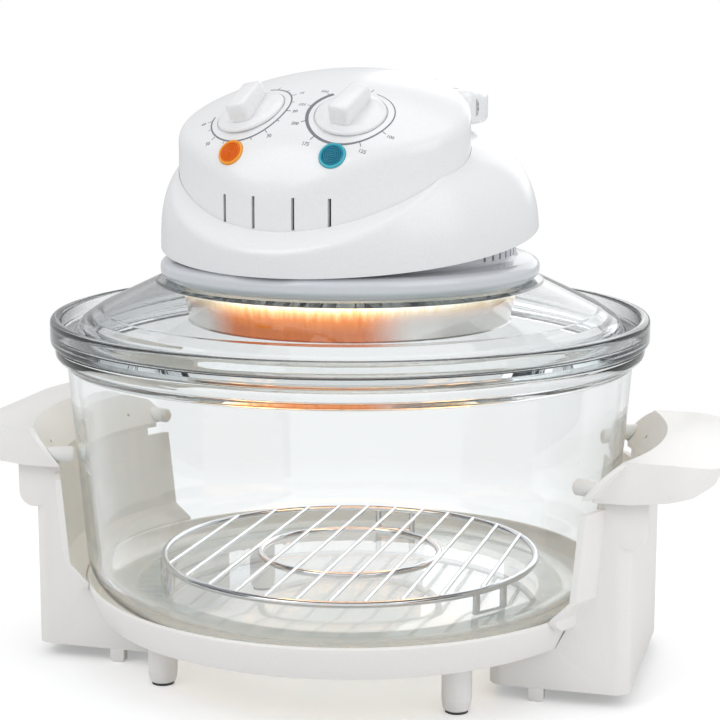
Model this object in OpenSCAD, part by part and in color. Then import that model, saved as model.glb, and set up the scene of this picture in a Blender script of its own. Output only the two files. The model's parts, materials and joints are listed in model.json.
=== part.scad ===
// Halogen oven: glass bowl on a moulded stand, glass lid with a motor head.
// Frame: +Z up, table at Z = 0, the bowl's axis is the Z axis, the front of the stand faces -Y.

/* [Stand] */
// Height of the underside of the ring above the table
ring_z = 31; // [24:1:45]
// Height of the ring
ring_h = 19; // [16:0.5:24]
// How far the ring's foot stays inside the bowl's radius
ring_in = 14.8; // [12:0.2:18]
// Width of the ring from its foot to the open middle
ledge_w = 36.2; // [35.2:0.2:42]
// Thickness of the ledge that carries the bowl
ledge_t = 3; // [2:0.25:4]
// Height of the ledge's top above the ring's underside
ledge_rise = 7; // [6:0.5:8]
// Number of ribs under the ledge
rib_count = 24; // [12:1:36]
// Radius of the round feet
foot_r = 8.2; // [6:0.2:9]
// Distance of the round feet inside the ring's foot
foot_in = 24.6; // [23:0.2:26]
// Angle of the round feet from the sideways line, in degrees
foot_angle = 46.5; // [44:0.5:49]
// Thickness of the rubber foot pads
pad_t = 1.5; // [1:0.25:3]

/* [Legs] */
// Distance from the bowl's radius to the outer wall of a leg
leg_out = 11; // [10:0.5:16]
// Half of a leg's front to back width
leg_half_w = 63.1; // [56:0.5:70]
// Wall thickness of the legs and handles
leg_wall = 3; // [2:0.25:4]
// Clearance of a leg above the table
leg_lift = 7.7; // [5:0.1:10]
// Height of the top of the legs
leg_top = 115; // [108:1:120]
// Length of a leg's underside towards the middle
leg_depth = 77; // [72:0.5:79]
// Gap between the bowl's wall and the legs
bowl_air = 11; // [9:0.25:12]
// Outer corner radius of the legs
leg_corner_r = 9; // [6:0.5:14]

/* [Stand handles] */
// Reach of the handles past the legs
handle_reach = 44.5; // [40:0.5:52]
// Half of a handle's front to back width
handle_half_w = 71; // [66:0.5:76]
// Half of the width of the curved saddle that hugs the bowl
saddle_half_w = 80; // [77:0.5:86]
// Height of the handles above the legs
handle_h = 22.5; // [20:0.5:28]
// Outer corner radius of the handles
handle_corner_r = 24; // [14:1:34]
// Radius gained by the flared collar over the height of the handle
flare = 14; // [10:0.5:18]

/* [Bowl] */
// Outer radius of the bowl's wall under its bead
bowl_r = 161; // [156:0.2:170]
// How much narrower the wall is at the bottom corner
bowl_taper = 8.8; // [6:0.2:12]
// Height of the bowl
bowl_h = 148; // [130:1:165]
// Thickness of the glass wall
bowl_wall = 5.5; // [4:0.25:7]
// Thickness of the bowl's floor
bowl_floor = 6; // [4:0.25:8]
// Radius of the rounded bottom corner
bowl_corner_r = 28; // [22:1:32]
// How far the bead stands out from the wall
bead_w = 6.4; // [5:0.2:8]
// Height of the bead
bead_h = 11; // [8:0.5:14]

/* [Rack] */
// Radius of the rack's outer ring
rack_r = 108; // [90:1:115]
// Radius of the rack's inner ring
rack_inner_r = 52; // [40:1:60]
// Height of the rack above the bowl's floor
rack_h = 18; // [14:1:30]
// Thickness of the rack's ring wire
rack_wire = 4; // [3:0.25:5]
// Thickness of the rack's cross wires
rack_cross_wire = 2.6; // [2:0.2:3.4]
// Spacing of the cross wires
rack_pitch = 18; // [14:1:24]

/* [Lid] */
// How far the lid's rim stands out past the bowl's bead
rim_over = 2.6; // [1.6:0.2:5]
// Height of the rim above the bowl
rim_h = 14.5; // [12:0.5:18]
// Thickness of the rim
rim_t = 6; // [5:0.25:7]
// Height of the flat top of the glass above the bowl
lid_h = 34.5; // [32:0.5:38]
// Thickness of the lid's glass
lid_t = 5; // [4:0.25:6]
// Radius of the hole in the lid
lid_hole_r = 88; // [86.8:0.2:90]
// Outer radius of the flat top of the glass
land_r = 110; // [109:0.5:112]
// Thickness of the silicone seal
seal_t = 1; // [0.8:0.1:1.5]

/* [Head] */
// Turn of the lid and head on the bowl, in degrees
head_turn = 10; // [-30:1:30]
// Widest radius of the base ring of the head
base_r = 107.5; // [107:0.25:109]
// How far the vented waist stays inside the base ring
waist_in = 13.5; // [12:0.5:14.5]
// Height of the vented waist's top
waist_h = 44; // [42:0.5:48]
// Wall thickness of the moulded shells
shell_t = 2.6; // [2:0.1:3.2]
// How far the housing stays inside the base ring
housing_in = 0.5; // [0.3:0.1:2]
// Height of the crown of the housing above its widest part
housing_h = 74; // [72:0.5:78]
// Slope of the front cut of the housing, in degrees
deck_slope = 36; // [33:0.5:38]
// Width of the vent slots
vent_w = 2.2; // [1.6:0.2:2.8]
// Angle between vent slots
vent_step = 5; // [4:0.5:8]

/* [Control panel] */
// Half width of the panel
panel_a = 84; // [80:0.5:86]
// Half depth of the panel
panel_b = 59.4; // [57:0.2:61]
// Distance of the panel's front edge inside the housing's
panel_in = 12.6; // [11:0.2:14]
// Radius of the rounded ends of the panel's outline
panel_end_r = 44; // [40:0.5:48]
// Sideways place of the knobs
dial_x = 30; // [28:0.5:32]
// Place of the knobs in front of the panel's middle
dial_fore = 27; // [25:0.5:29]
// Radius of the knobs' skirt
knob_r = 19; // [16:0.5:20]
// Height of the knobs' grip bar
knob_bar_h = 10; // [7:0.5:14]
// Place of the lamp lenses in front of the panel's middle
lens_fore = 49.3; // [48:0.2:51]
// Radius of the lamp lenses
lens_r = 7.4; // [6:0.2:8]
// Width of the four front slots
slot_w = 1.8; // [1.2:0.2:2.6]

/* [Carrying handle] */
// Outer radius of the handle's bow
bow_r = 70; // [69:0.5:74]
// Width of the handle's bar
bow_w = 20; // [17:0.5:21]
// Height of the handle's bar
bow_h = 19; // [16:0.5:20]
// Radius of the pivot pins
pin_r = 4; // [3:0.25:5]

/* [Heater and fan] */
// Radius of the top of the reflector
reflector_r = 95.3; // [94:0.2:97]
// Depth of the reflector
reflector_h = 21; // [18:0.5:24]
// Radius of the lamp ring
lamp_r = 66; // [62:0.5:70]
// Radius of the lamp tube
lamp_tube_r = 5; // [4:0.25:6]
// Radius of the circulation fan
fan_r = 46; // [40:1:50]
// Number of blades on each fan
blade_count = 8; // [5:1:12]
// Radius of the motor
motor_r = 30; // [26:0.5:32]
// Height of the motor
motor_h = 38; // [30:1:40]
// Radius of the fan shaft
shaft_r = 3; // [2.5:0.25:4]

/* [Hidden] */
$fn = 96;
// Clearance of a running fit, on the radius
run = 0.05;
// Clearance between seated pieces
seat = 0.3;
// Overlap of cutting tools past the faces that they cut
eps = 1;

// Radii and places that follow the bowl
ring_foot_r = bowl_r - ring_in;
ring_hole_r = ring_foot_r - ledge_w;
ring_top_r = ring_foot_r + 6.8;
foot_x = (ring_foot_r - foot_in) * cos(foot_angle);
foot_y = (ring_foot_r - foot_in) * sin(foot_angle);
leg_x = bowl_r + leg_out;
leg_in_x = leg_x - leg_depth;
handle_x = leg_x + handle_reach;
rim_r = bowl_r + bead_w + rim_over;

// Radii and places that follow the base ring of the head
waist_r = base_r - waist_in;
post_at = waist_r - 14;
housing_r = base_r - housing_in;
panel_y = housing_r - panel_b - panel_in;
dial_y = panel_y + dial_fore;
lens_y = panel_y + lens_fore;

// Heights of the stacked pieces
ring_top = ring_z + ring_h;
bowl_z = ring_z + ledge_rise;
lid_z = bowl_z + bowl_h;
land_z = lid_z + lid_h;
head_z = land_z + seal_t;
bowl_foot_r = bowl_r - bowl_taper - bowl_corner_r;

// Levels in the head, above the head's own zero at the seal
crown_z = 14.5;
deck_z = 32.5;
deck_y = housing_r - 11;
floor_t = 3;
spigot_h = 7;
panel_skirt = 9;
spigot_r = lid_hole_r - 1.5;
vent_z = 14;
vent_h = 16;
vent_first = 76;

// Crown of the panel: two arcs in the side view, turned about an axis parallel to Y
axis_z = -83.5;
back_arc_r = 150;
back_arc_y = 47 - panel_y;
back_arc_h = 50;
front_arc_r = 65;
front_arc_y = 5 - panel_y;
front_arc_h = 124;
arc_join_y = -27 - panel_y;

// Carrying handle pivot
pivot_y = 15;
pivot_z = 95;
bow_y = 20;
bow_in = bow_r - bow_w;
swing_air = 1.2;
// Room inside the arms, so that the bow's curve clears the panel when it stands up
arm_air = 1.5;
boss_in = 36;
boss_r = 7.5;

// Interlock switch
switch_x = 58.5;
switch_y = 31;
switch_z = 73;
switch_w = 20;
plunger_r = 2;

// Place where the mains lead enters
inlet_z = 54.5;
inlet_r = 6;
cord_r = 3.6;
inlet_y = housing_r - 2.5;

// Heater and motor levels
plate_z = -spigot_h;
lamp_z = plate_z - 11;
lamp_gap = 9;
guard_z = plate_z - reflector_h + 1;
motor_z = 26;
bracket_t = 2;
bracket_r = 44;
post_r = 40;
fan_z = plate_z - 14;
fan_nut_h = 3.8;
cool_z = 9;

// Knob stack, measured along the dial's own axis from the panel's face
dial_recess = 2.1;
dial_boss_t = 8;
dial_boss_r = 13;
knob_gap = 0.4;
skirt_h = 4.5;
bar_w = 12;
unit_w = 34;
unit_h = 22;
unit_neck_r = 4.5;
dial_shaft_r = 3;

// ---- Shared shapes and rules ----

// Points of an arc around [x, y]
function arc(x, y, r, a0, a1, n) =
    [for (i = [0:n]) [x + r * cos(a0 + (a1 - a0) * i / n), y + r * sin(a0 + (a1 - a0) * i / n)]];

// Outer radius of the bowl's wall at a height above the bowl's foot
function bowl_r_at(h) =
    bowl_r - bowl_taper * (bowl_h - bead_h - h) / (bowl_h - bead_h - bowl_corner_r);

// Outer radius of the ring at a height above its underside
function ring_r_at(h) = ring_foot_r + (ring_top_r - 0.8 - ring_foot_r) * h / (ring_h - 4);

// Point of the housing's side view: a rounded square arch from the widest part to the crown
function arch(r, top, t) = [r * pow(cos(t), 2 / 3), top * pow(sin(t), 2 / 3)];

// Height of the panel's crown above the head's zero, at a place on the head
function crown_reach(y) = y > arc_join_y
    ? back_arc_h + sqrt(pow(back_arc_r, 2) - pow(y - back_arc_y, 2))
    : front_arc_h + sqrt(pow(front_arc_r, 2) - pow(y - front_arc_y, 2));
function crown_at(x, y) = axis_z + sqrt(pow(crown_reach(y), 2) - x * x);

// Slope of the crown's side view at a place, in degrees
function crown_tilt(y) = y > arc_join_y
    ? asin((back_arc_y - y) / back_arc_r)
    : asin((front_arc_y - y) / front_arc_r);
function crown_lean(x, y) = asin(x / crown_reach(y));

// Rectangle with round corners, centred in Y, exact arcs
module round_rect(x0, x1, half, r) {
    translate([x0 + r, -half]) square([x1 - x0 - 2 * r, 2 * half]);
    translate([x0, -half + r]) square([x1 - x0, 2 * half - 2 * r]);
    for (x = [x0 + r, x1 - r], y = [-half + r, half - r]) translate([x, y]) circle(r);
}

// Oval of four arcs, half width a, half depth b, end radius r
module oval(a, b, r) {
    big = (pow(a - r, 2) + b * b - r * r) / (2 * (b - r));
    touch = (a - r) * big / (big - r);
    intersection() {
        translate([0, b - big]) circle(big);
        translate([0, big - b]) circle(big);
        translate([-touch, -b]) square([2 * touch, 2 * b]);
    }
    for (s = [-1, 1]) translate([s * (a - r), 0]) circle(r);
}

// Pan-head screw pointing up, head under z = 0
module screw_up(r, length) {
    translate([0, 0, -2.2]) cylinder(r = 2 * r, h = 2.2, $fn = 24);
    translate([0, 0, -eps]) cylinder(r = r, h = length + eps, $fn = 24);
}

// Puts its children on the head's own frame
module on_head() {
    translate([0, 0, head_z]) rotate([0, 0, -head_turn]) children();
}

// Puts its children on the panel's crown with +Z square to the face
module on_crown(x, y) {
    translate([x, y, crown_at(x, y)]) rotate([0, crown_lean(x, y), 0])
        rotate([crown_tilt(y), 0, 0]) children();
}

// ---- Stand ----

module base_ring() {
    lip = 2.4;
    inner_r = ring_top_r - lip;
    top_in = ledge_rise - ledge_t;
    low_r = ring_r_at(ledge_rise + 1.5) - lip;
    color("white") union() {
        translate([0, 0, ring_z]) rotate_extrude() polygon([
            [ring_hole_r, top_in - 2.5], [ring_hole_r, ledge_rise], [low_r - 1.6, ledge_rise],
            [low_r, ledge_rise + 1.5], [inner_r - 0.8, ring_h - 4], [inner_r, ring_h - 0.8],
            [inner_r + 0.8, ring_h], [ring_top_r - 0.8, ring_h], [ring_top_r, ring_h - 1],
            [ring_top_r - 0.8, ring_h - 4], [ring_foot_r, 0], [ring_foot_r - 2.6, 0],
            [ring_foot_r - 2.2, top_in], [ring_hole_r + 2.5, top_in], [ring_hole_r + 2.5, top_in - 2.5]]);
        translate([0, 0, ring_z]) for (i = [0:rib_count - 1]) rotate([0, 0, (i + 0.5) * 360 / rib_count])
            translate([ring_hole_r + 2, -0.9, 0]) cube([ring_foot_r - ring_hole_r - 3.2, 1.8, top_in + 0.5]);
        for (x = [-foot_x, foot_x], y = [-foot_y, foot_y]) translate([x, y, ring_z])
            cylinder(r = foot_r, h = top_in + 0.5);
        for (s = [-1, 1], y = [-ring_screw_y, ring_screw_y]) translate([s * ring_screw_x, y, ring_z])
            difference() {
                cylinder(r = 4.5, h = top_in + 0.5, $fn = 32);
                translate([0, 0, -eps]) cylinder(r = 1.5, h = top_in + eps, $fn = 24);
            }
    }
}

// Places of the screws that hold the legs to the ring and the handles to the legs
ring_screw_x = leg_in_x + 27;
// Radius of the collar's room for the bowl at its foot
collar_r = bowl_r_at(leg_top - bowl_z) + bowl_air;
ring_screw_y = 34;
grip_screw_y = 52;
grip_screw_x = leg_x - leg_wall - 3.7;

// Space taken by ring, bowl and the air around them, grown by a wall
module bowl_space(grow) {
    top = leg_top + handle_h + 20;
    rotate_extrude() polygon([
        [0, ring_z - (grow > 0 ? leg_wall : 0)],
        [ring_foot_r + seat + grow, ring_z - (grow > 0 ? leg_wall : 0)],
        [ring_foot_r + seat + grow, ring_z],
        [ring_top_r + seat + grow, ring_top - 4],
        [ring_top_r + seat + grow, ring_top + 1],
        [bowl_r_at(ring_top + 12 - bowl_z) + bowl_air + grow, ring_top + 12],
        [bowl_r_at(leg_top - bowl_z) + bowl_air + grow, leg_top],
        [bowl_r_at(leg_top - bowl_z) + bowl_air + grow, top],
        [0, top]]);
}

// Front view of a saddle plate from z0 to z1, its corners rounded at the bottom or the top
module saddle_face(z0, z1, r, at_top) {
    half = saddle_half_w;
    mid = at_top ? z1 - r : z0 + r;
    rotate([90, 0, 90]) linear_extrude(250) intersection() {
        translate([-half, z0]) square([2 * half, z1 - z0]);
        union() {
            translate([-half, at_top ? z0 : mid]) square([2 * half, at_top ? mid - z0 : z1 - mid]);
            translate([-half + r, z0]) square([2 * half - 2 * r, z1 - z0]);
            for (s = [-1, 1]) translate([s * (half - r), mid]) circle(r);
        }
    }
}

// Leg on the +X side: a box open below, cut to the ring and the bowl
module leg() {
    tongue = 26;
    tongue_r = 9;
    color("white") union() {
        // Ears of the saddle at both sides of the box
        intersection() {
            difference() {
                bowl_space(leg_wall);
                bowl_space(0);
            }
            difference() {
                saddle_face(ring_top - 6, leg_top - 5, 10, false);
                translate([0, -leg_half_w + 1, 0]) cube([250, 2 * leg_half_w - 2, 250]);
            }
        }
        difference() {
            translate([0, 0, leg_lift]) linear_extrude(leg_top - leg_lift)
                round_rect(leg_in_x, leg_x, leg_half_w, leg_corner_r);
            bowl_space(0);
            difference() {
                translate([0, 0, leg_lift - eps]) linear_extrude(leg_top - leg_wall - leg_lift + eps)
                    round_rect(leg_in_x + leg_wall, leg_x - leg_wall, leg_half_w - leg_wall,
                        leg_corner_r - leg_wall);
                bowl_space(leg_wall);
            }
            for (y = [-ring_screw_y, ring_screw_y]) translate([ring_screw_x, y, 0])
                cylinder(r = 1.6, h = ring_z + eps, $fn = 24);
            for (y = [-grip_screw_y, grip_screw_y]) translate([grip_screw_x, y, leg_top - leg_wall - eps])
                cylinder(r = 1.6, h = leg_wall + 2 * eps, $fn = 24);
        }
        // Tongues under the handle's corners
        for (s = [-1, 1]) translate([0, s * (leg_half_w - leg_wall / 2) + leg_wall / 2, 0])
            rotate([90, 0, 0]) linear_extrude(leg_wall) {
                translate([leg_x - leg_corner_r - 1, leg_top - tongue + tongue_r])
                    square([leg_corner_r + tongue_r, tongue - tongue_r]);
                translate([leg_x - 1, leg_top - tongue + tongue_r]) circle(tongue_r);
            }
    }
}

module right_leg() { leg(); }
module left_leg() { mirror([1, 0, 0]) leg(); }

// Side view of a handle, top skin lowered by drop
module handle_side(drop, open) {
    h = handle_h;
    tip = handle_x;
    low = open ? -eps : 0;
    polygon([
        [leg_x - 45, low], [leg_x, low],
        [leg_x + 18, open ? low : 2], [leg_x + 31, open ? 2 : 5],
        [tip - 3 - drop, open ? 8 : 11], [tip - drop, h - 6 - drop], [tip - 1 - drop, h - 3.5 - drop],
        [tip - 12, h - 1.2 - drop], [leg_x + 21, h - drop], [leg_x - 45, h - drop]]);
}

// Flared room for the bowl inside a handle, its wall moved out by g
module funnel(g) {
    r = collar_r + g;
    rotate_extrude() polygon([[0, -3 * eps], [r, -3 * eps], [r, 3], [r + flare, handle_h],
        [r + flare, handle_h + 4 * eps], [0, handle_h + 4 * eps]]);
}

// Handle's outer form, its skins moved in by inset
module grip_solid(inset, open) {
    intersection() {
        translate([0, 0, -2 * eps]) linear_extrude(handle_h + 4 * eps)
            round_rect(leg_x - 44, handle_x - inset, handle_half_w - inset, handle_corner_r - inset);
        translate([0, handle_half_w + eps, 0]) rotate([90, 0, 0])
            linear_extrude(2 * handle_half_w + 2 * eps) handle_side(inset, open);
    }
}

// Handle on the +X side: a shell open below, with a collar that flares away from the bowl
module grip() {
    color("white") translate([0, 0, leg_top]) difference() {
        union() {
            difference() {
                grip_solid(0, false);
                difference() {
                    grip_solid(leg_wall, true);
                    funnel(leg_wall);
                }
            }
            // Ears of the collar
            intersection() {
                difference() {
                    funnel(leg_wall);
                    funnel(0);
                }
                difference() {
                    saddle_face(3, handle_h, handle_h - 8, true);
                    translate([0, -handle_half_w + 1, 0]) cube([250, 2 * handle_half_w - 2, 250]);
                }
            }
            for (y = [-grip_screw_y, grip_screw_y]) translate([grip_screw_x, y, 0])
                cylinder(r = 4, h = handle_h - leg_wall / 2, $fn = 32);
            for (y = [-48, 48]) intersection() {
                grip_solid(1, false);
                translate([leg_x + 4, y - 1, 9]) cube([handle_reach - 6.5, 2, handle_h]);
            }
        }
        for (y = [-grip_screw_y, grip_screw_y]) translate([grip_screw_x, y, -eps])
            cylinder(r = 1.5, h = 12, $fn = 24);
        funnel(0);
    }
}

module right_handle() { grip(); }
module left_handle() { mirror([1, 0, 0]) grip(); }

module ring_feet() {
    color("whitesmoke") for (x = [-foot_x, foot_x], y = [-foot_y, foot_y]) translate([x, y, pad_t])
        rotate_extrude() polygon([[0, 0], [foot_r - 1.6, 0], [foot_r - 0.8, 0.8],
            [foot_r, 6], [foot_r, ring_z - pad_t], [0, ring_z - pad_t]]);
}

module foot_pads() {
    color("dimgray") for (x = [-foot_x, foot_x], y = [-foot_y, foot_y]) translate([x, y, 0])
        cylinder(r = foot_r - 2, h = pad_t);
}

module leg_feet() {
    tab_w = 8.5;
    tab_x = leg_in_x + 26.8;
    color("whitesmoke") for (s = [-1, 1], t = [-1, 1])
        translate([s * tab_x, t * (leg_half_w - 3), leg_lift]) rotate([90, 0, 0])
        translate([0, 0, -3]) linear_extrude(6) {
            translate([-tab_w / 2, -leg_lift + 2]) square([tab_w, leg_lift - 2]);
            translate([-tab_w / 2 + 2, -leg_lift]) square([tab_w - 4, leg_lift]);
            for (e = [-1, 1]) translate([e * (tab_w / 2 - 2), -leg_lift + 2]) circle(2, $fn = 32);
        }
}

// Round pegs on the handles' collars that the bowl leans on
module bowl_bumpers() {
    peg_a = 26;
    peg_z = 8;
    tip = bowl_r_at(leg_top + peg_z - bowl_z) + 1;
    color("white") translate([0, 0, leg_top]) intersection() {
        for (s = [-1, 1], t = [-1, 1]) rotate([0, 0, (s > 0 ? 0 : 180) + t * peg_a])
            translate([0, 0, peg_z]) rotate([0, 90, 0]) rotate_extrude($fn = 48)
            polygon([[0, tip], [3, tip + 0.3], [4.5, tip + 1.6], [4.5, tip + 22], [0, tip + 22]]);
        funnel(-0.1);
    }
}

module stand_screws() {
    color("silver") for (s = [-1, 1]) {
        for (y = [-ring_screw_y, ring_screw_y]) translate([s * ring_screw_x, y, ring_z - leg_wall])
            screw_up(1.4, leg_wall + ledge_rise - ledge_t - 0.6);
        for (y = [-grip_screw_y, grip_screw_y]) translate([s * grip_screw_x, y, leg_top - leg_wall])
            screw_up(1.4, leg_wall + 9);
    }
}

// ---- Bowl and rack ----

module glass_bowl() {
    w = bowl_wall;
    tilt = atan(bowl_taper / (bowl_h - bead_h - bowl_corner_r));
    neck = bowl_h - bead_h;
    in_top = bowl_r - w + 0.8;
    color("lightcyan", 0.4) translate([0, 0, bowl_z]) rotate_extrude($fn = 160) polygon(concat(
        [[0, 0]],
        arc(bowl_foot_r, bowl_corner_r, bowl_corner_r, -90, -tilt, 10),
        [[bowl_r, neck], [bowl_r + bead_w * 0.8, neck + 3], [bowl_r + bead_w, neck + 6],
            [bowl_r + bead_w, bowl_h - 1], [bowl_r + bead_w - 1, bowl_h], [in_top, bowl_h],
            [bowl_r - w, neck]],
        arc(bowl_foot_r, bowl_corner_r + (bowl_floor - w), bowl_corner_r - w, -tilt, -90, 10),
        [[0, bowl_floor]]));
}

// One bent wire leg of the rack
module rack_leg() {
    r = rack_wire / 2;
    half = 11;
    drop = rack_h - 2 * r;
    translate([0, 0, -drop]) {
        rotate([90, 0, 0]) translate([0, 0, -half]) cylinder(r = r, h = 2 * half, $fn = 24);
        for (s = [-1, 1]) translate([0, s * half, 0]) {
            cylinder(r = r, h = drop, $fn = 24);
            sphere(r, $fn = 24);
        }
    }
}

module low_rack() {
    r = rack_wire / 2;
    top = bowl_z + bowl_floor + rack_h - r;
    rows = floor((rack_r - 8) / rack_pitch);
    color("gainsboro") translate([0, 0, top]) union() {
        for (ring = [rack_r, rack_inner_r]) rotate_extrude() translate([ring, 0]) circle(r, $fn = 24);
        for (i = [-rows:rows]) translate([i * rack_pitch, 0, r * 0.5]) rotate([90, 0, 0])
            cylinder(r = rack_cross_wire / 2, h = 2 * sqrt(rack_r * rack_r - pow(i * rack_pitch, 2)),
                center = true, $fn = 24);
        for (a = [90, 210, 330]) rotate([0, 0, a]) translate([rack_r, 0, 0]) rack_leg();
    }
}

// ---- Lid ----

module glass_lid() {
    in_r = bowl_r - bowl_wall + 0.8 - 0.7;
    trough_r = rim_r - rim_t;
    color("lightcyan", 0.4) translate([0, 0, lid_z]) rotate_extrude($fn = 160) polygon([
        [lid_hole_r, lid_h - lid_t], [lid_hole_r, lid_h], [land_r - 1.5, lid_h], [land_r, lid_h - 0.6],
        [trough_r - 21, 18.6], [trough_r - 14, 14], [trough_r - 9.5, 8.5], [trough_r - 6.5, 4.8],
        [trough_r - 1, 4.4], [trough_r, 5.6],
        [trough_r, rim_h - 2], [trough_r + 1, rim_h - 0.5], [trough_r + 2.6, rim_h],
        [rim_r - 2.6, rim_h], [rim_r - 0.6, rim_h - 1.6], [rim_r, rim_h - 4],
        [rim_r - 0.4, 4], [rim_r - 1.6, 1], [rim_r - 2.8, 0], [in_r, 0], [in_r, -3], [in_r - 5, -3],
        [in_r - 6.5, 1], [in_r - 7.6, 7], [in_r - 11.4, 11], [in_r - 17, 14.6],
        [land_r - 2, lid_h - lid_t]]);
}

module lid_seal() {
    web = lid_hole_r - 1.2;
    color("lightgray") translate([0, 0, land_z]) rotate_extrude() polygon([
        [web, seal_t], [lid_hole_r + 13, seal_t], [lid_hole_r + 13, 0], [lid_hole_r, 0],
        [lid_hole_r, -lid_t], [lid_hole_r + 5, -lid_t], [lid_hole_r + 5, -lid_t - seal_t],
        [web, -lid_t - seal_t]]);
}

// ---- Head ----

module head_base() {
    vents = floor((360 - 2 * vent_first) / vent_step);
    color("gainsboro") on_head() difference() {
        union() {
            rotate_extrude($fn = 128) polygon([
                [14, 0], [spigot_r - 2.4, 0], [spigot_r - 2.4, -spigot_h + seat],
                [spigot_r - 0.3, -spigot_h + seat], [spigot_r - 0.3, 0], [base_r - 3.6, 0],
                [base_r - 1.4, 1.6], [base_r - 0.3, 3.8], [base_r, 6], [base_r - 0.6, 8.2],
                [base_r - 2.4, 9.9], [base_r - 6, 11.2], [waist_r + 1.2, 12.2], [waist_r, 13.2],
                [waist_r, waist_h], [waist_r - shell_t, waist_h], [waist_r - shell_t, 11.6],
                [waist_r, 9.7], [base_r - 6.5, 8.6], [base_r - 3, 6.2], [base_r - 4.6, floor_t],
                [14, floor_t]]);
            for (a = [45:90:315]) rotate([0, 0, a]) translate([post_at, 0, 0])
                cylinder(r = 5, h = waist_h - 4);
        }
        above_deck(panel_skirt + 5);
        for (i = [0:vents]) rotate([0, 0, -90 + vent_first + i * vent_step])
            translate([waist_r - shell_t - eps, 0, 0]) rotate([90, 0, 90])
            linear_extrude(shell_t + 2 * eps) {
                translate([-vent_w / 2, vent_z + vent_w / 2]) square([vent_w, vent_h]);
                translate([0, vent_z + vent_w / 2]) circle(vent_w / 2, $fn = 24);
            }
        for (a = [45:90:315]) rotate([0, 0, a]) translate([post_at, 0, -eps])
            cylinder(r = 1.6, h = waist_h + eps, $fn = 24);
    }
}

// Revolved crown of the housing
module crown_solid(r, top, low) {
    n = 24;
    rotate_extrude($fn = 128) polygon(concat([[0, low], [r, low]],
        [for (i = [0:n]) let (p = arch(r, top, 90 * i / n)) [p[0], crown_z + p[1]]]));
}

// Everything in front of and above the sloped deck, lowered by drop
module above_deck(drop) {
    translate([0, -deck_y, deck_z - drop / cos(deck_slope)]) rotate([deck_slope, 0, 0])
        translate([-150, -100, 0]) cube([300, 330, 150]);
}

// The panel's outline as an upright prism, grown by g
module panel_prism(g, z0, z1) {
    translate([0, -panel_y, z0]) linear_extrude(z1 - z0) oval(panel_a + g, panel_b + g, panel_end_r + g);
}

// Scoop behind the panel for the fingers
module finger_scoop(grow) {
    translate([0, housing_r - 31, 118]) sphere(46 + grow);
}

module head_housing() {
    edge_z = 24.5;
    edge_slope = 7.4;
    r_in = housing_r - shell_t;
    color("white") on_head() difference() {
        union() {
            difference() {
                crown_solid(housing_r, housing_h, 4);
                above_deck(0);
                finger_scoop(0);
                difference() {
                    crown_solid(r_in, housing_h - shell_t, 0);
                    above_deck(shell_t);
                    finger_scoop(shell_t);
                }
            }
            // Ledge that sits on the waist
            difference() {
                intersection() {
                    translate([0, 0, waist_h]) cylinder(r = housing_r, h = shell_t);
                    crown_solid(housing_r - 1, housing_h - 1, 0);
                }
                translate([0, 0, waist_h - eps]) cylinder(r = waist_r - 6, h = shell_t + 2 * eps);
                above_deck(shell_t / 2);
            }
            for (a = [45:90:315]) rotate([0, 0, a]) translate([post_at, 0, waist_h - 4])
                cylinder(r = 5, h = 12);
            for (a = [45:90:315]) rotate([0, 0, a]) translate([post_at, -1.2, waist_h])
                cube([20, 2.4, 8]);
            // Boss that carries the interlock switch
            intersection() {
                translate([switch_x - switch_w / 2, switch_y - 4, switch_z]) cube([switch_w, 8, 20]);
                crown_solid(housing_r - 1, housing_h - 1, 0);
            }
            // Sleeve for the inlet
            translate([0, inlet_y - 12, inlet_z]) rotate([-90, 0, 0]) cylinder(r = inlet_r + 2, h = 12);
        }
        translate([switch_x, switch_y, switch_z - eps]) cylinder(r = plunger_r + 0.5, h = 20, $fn = 32);
        // Underside cut, rising to the back
        translate([0, 0, edge_z]) rotate([edge_slope, 0, 0]) translate([-150, -150, -60])
            difference() {
                cube([300, 300, 60]);
                translate([150, 150, -eps]) cylinder(r = waist_r - 2, h = 60 + 2 * eps);
            }
        panel_prism(seat, 10, 140);
        for (a = [45:90:315]) rotate([0, 0, a]) translate([post_at, 0, waist_h - 4 - eps])
            cylinder(r = 1.4, h = 10, $fn = 24);
        translate([0, inlet_y - 13, inlet_z]) rotate([-90, 0, 0]) cylinder(r = inlet_r + 0.1, h = 20);
    }
}

// Solid under the panel's crown, all its reaches shortened by drop
module crown_body(drop) {
    n = 16;
    front = arc(front_arc_h, front_arc_y, front_arc_r - drop, -crown_tilt(arc_join_y), -90, n);
    translate([0, 0, axis_z]) rotate([-90, 0, 0]) rotate_extrude($fn = 160) polygon(concat(
        [[0, back_arc_y + 40]],
        [for (a = [16:-4:4]) [back_arc_h + (back_arc_r - drop) * cos(a),
            back_arc_y + (back_arc_r - drop) * sin(a)]],
        [for (a = [0:-2:-crown_tilt(arc_join_y)]) [back_arc_h + (back_arc_r - drop) * cos(a),
            back_arc_y + (back_arc_r - drop) * sin(a)]],
        front,
        [[0, front_arc_y - front_arc_r + drop]]));
}

// The panel without its openings, walls inset by g and crown lowered by g
module panel_solid(g) {
    rear_z = 74;
    difference() {
        intersection() {
            panel_prism(-g, 12, 140);
            crown_body(g);
        }
        if (g == 0) intersection() {
            translate([0, -deck_y, deck_z - panel_skirt]) rotate([deck_slope, 0, 0])
                translate([-150, -100, -160]) cube([300, 330, 160]);
            translate([-150, -150, -50]) cube([300, 300, 50 + rear_z]);
        }
    }
}

// Room for the carrying handle's arms in the panel's back edge
module arm_room(g) {
    low = pivot_y - bow_h / 2 - swing_air - g;
    wide = bow_w + seat + arm_air + 2 * g;
    for (s = [-1, 1]) translate([s * (bow_in - arm_air - g + wide / 2), low + 50, 70])
        cube([wide, 100, 200], center = true);
}

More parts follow.
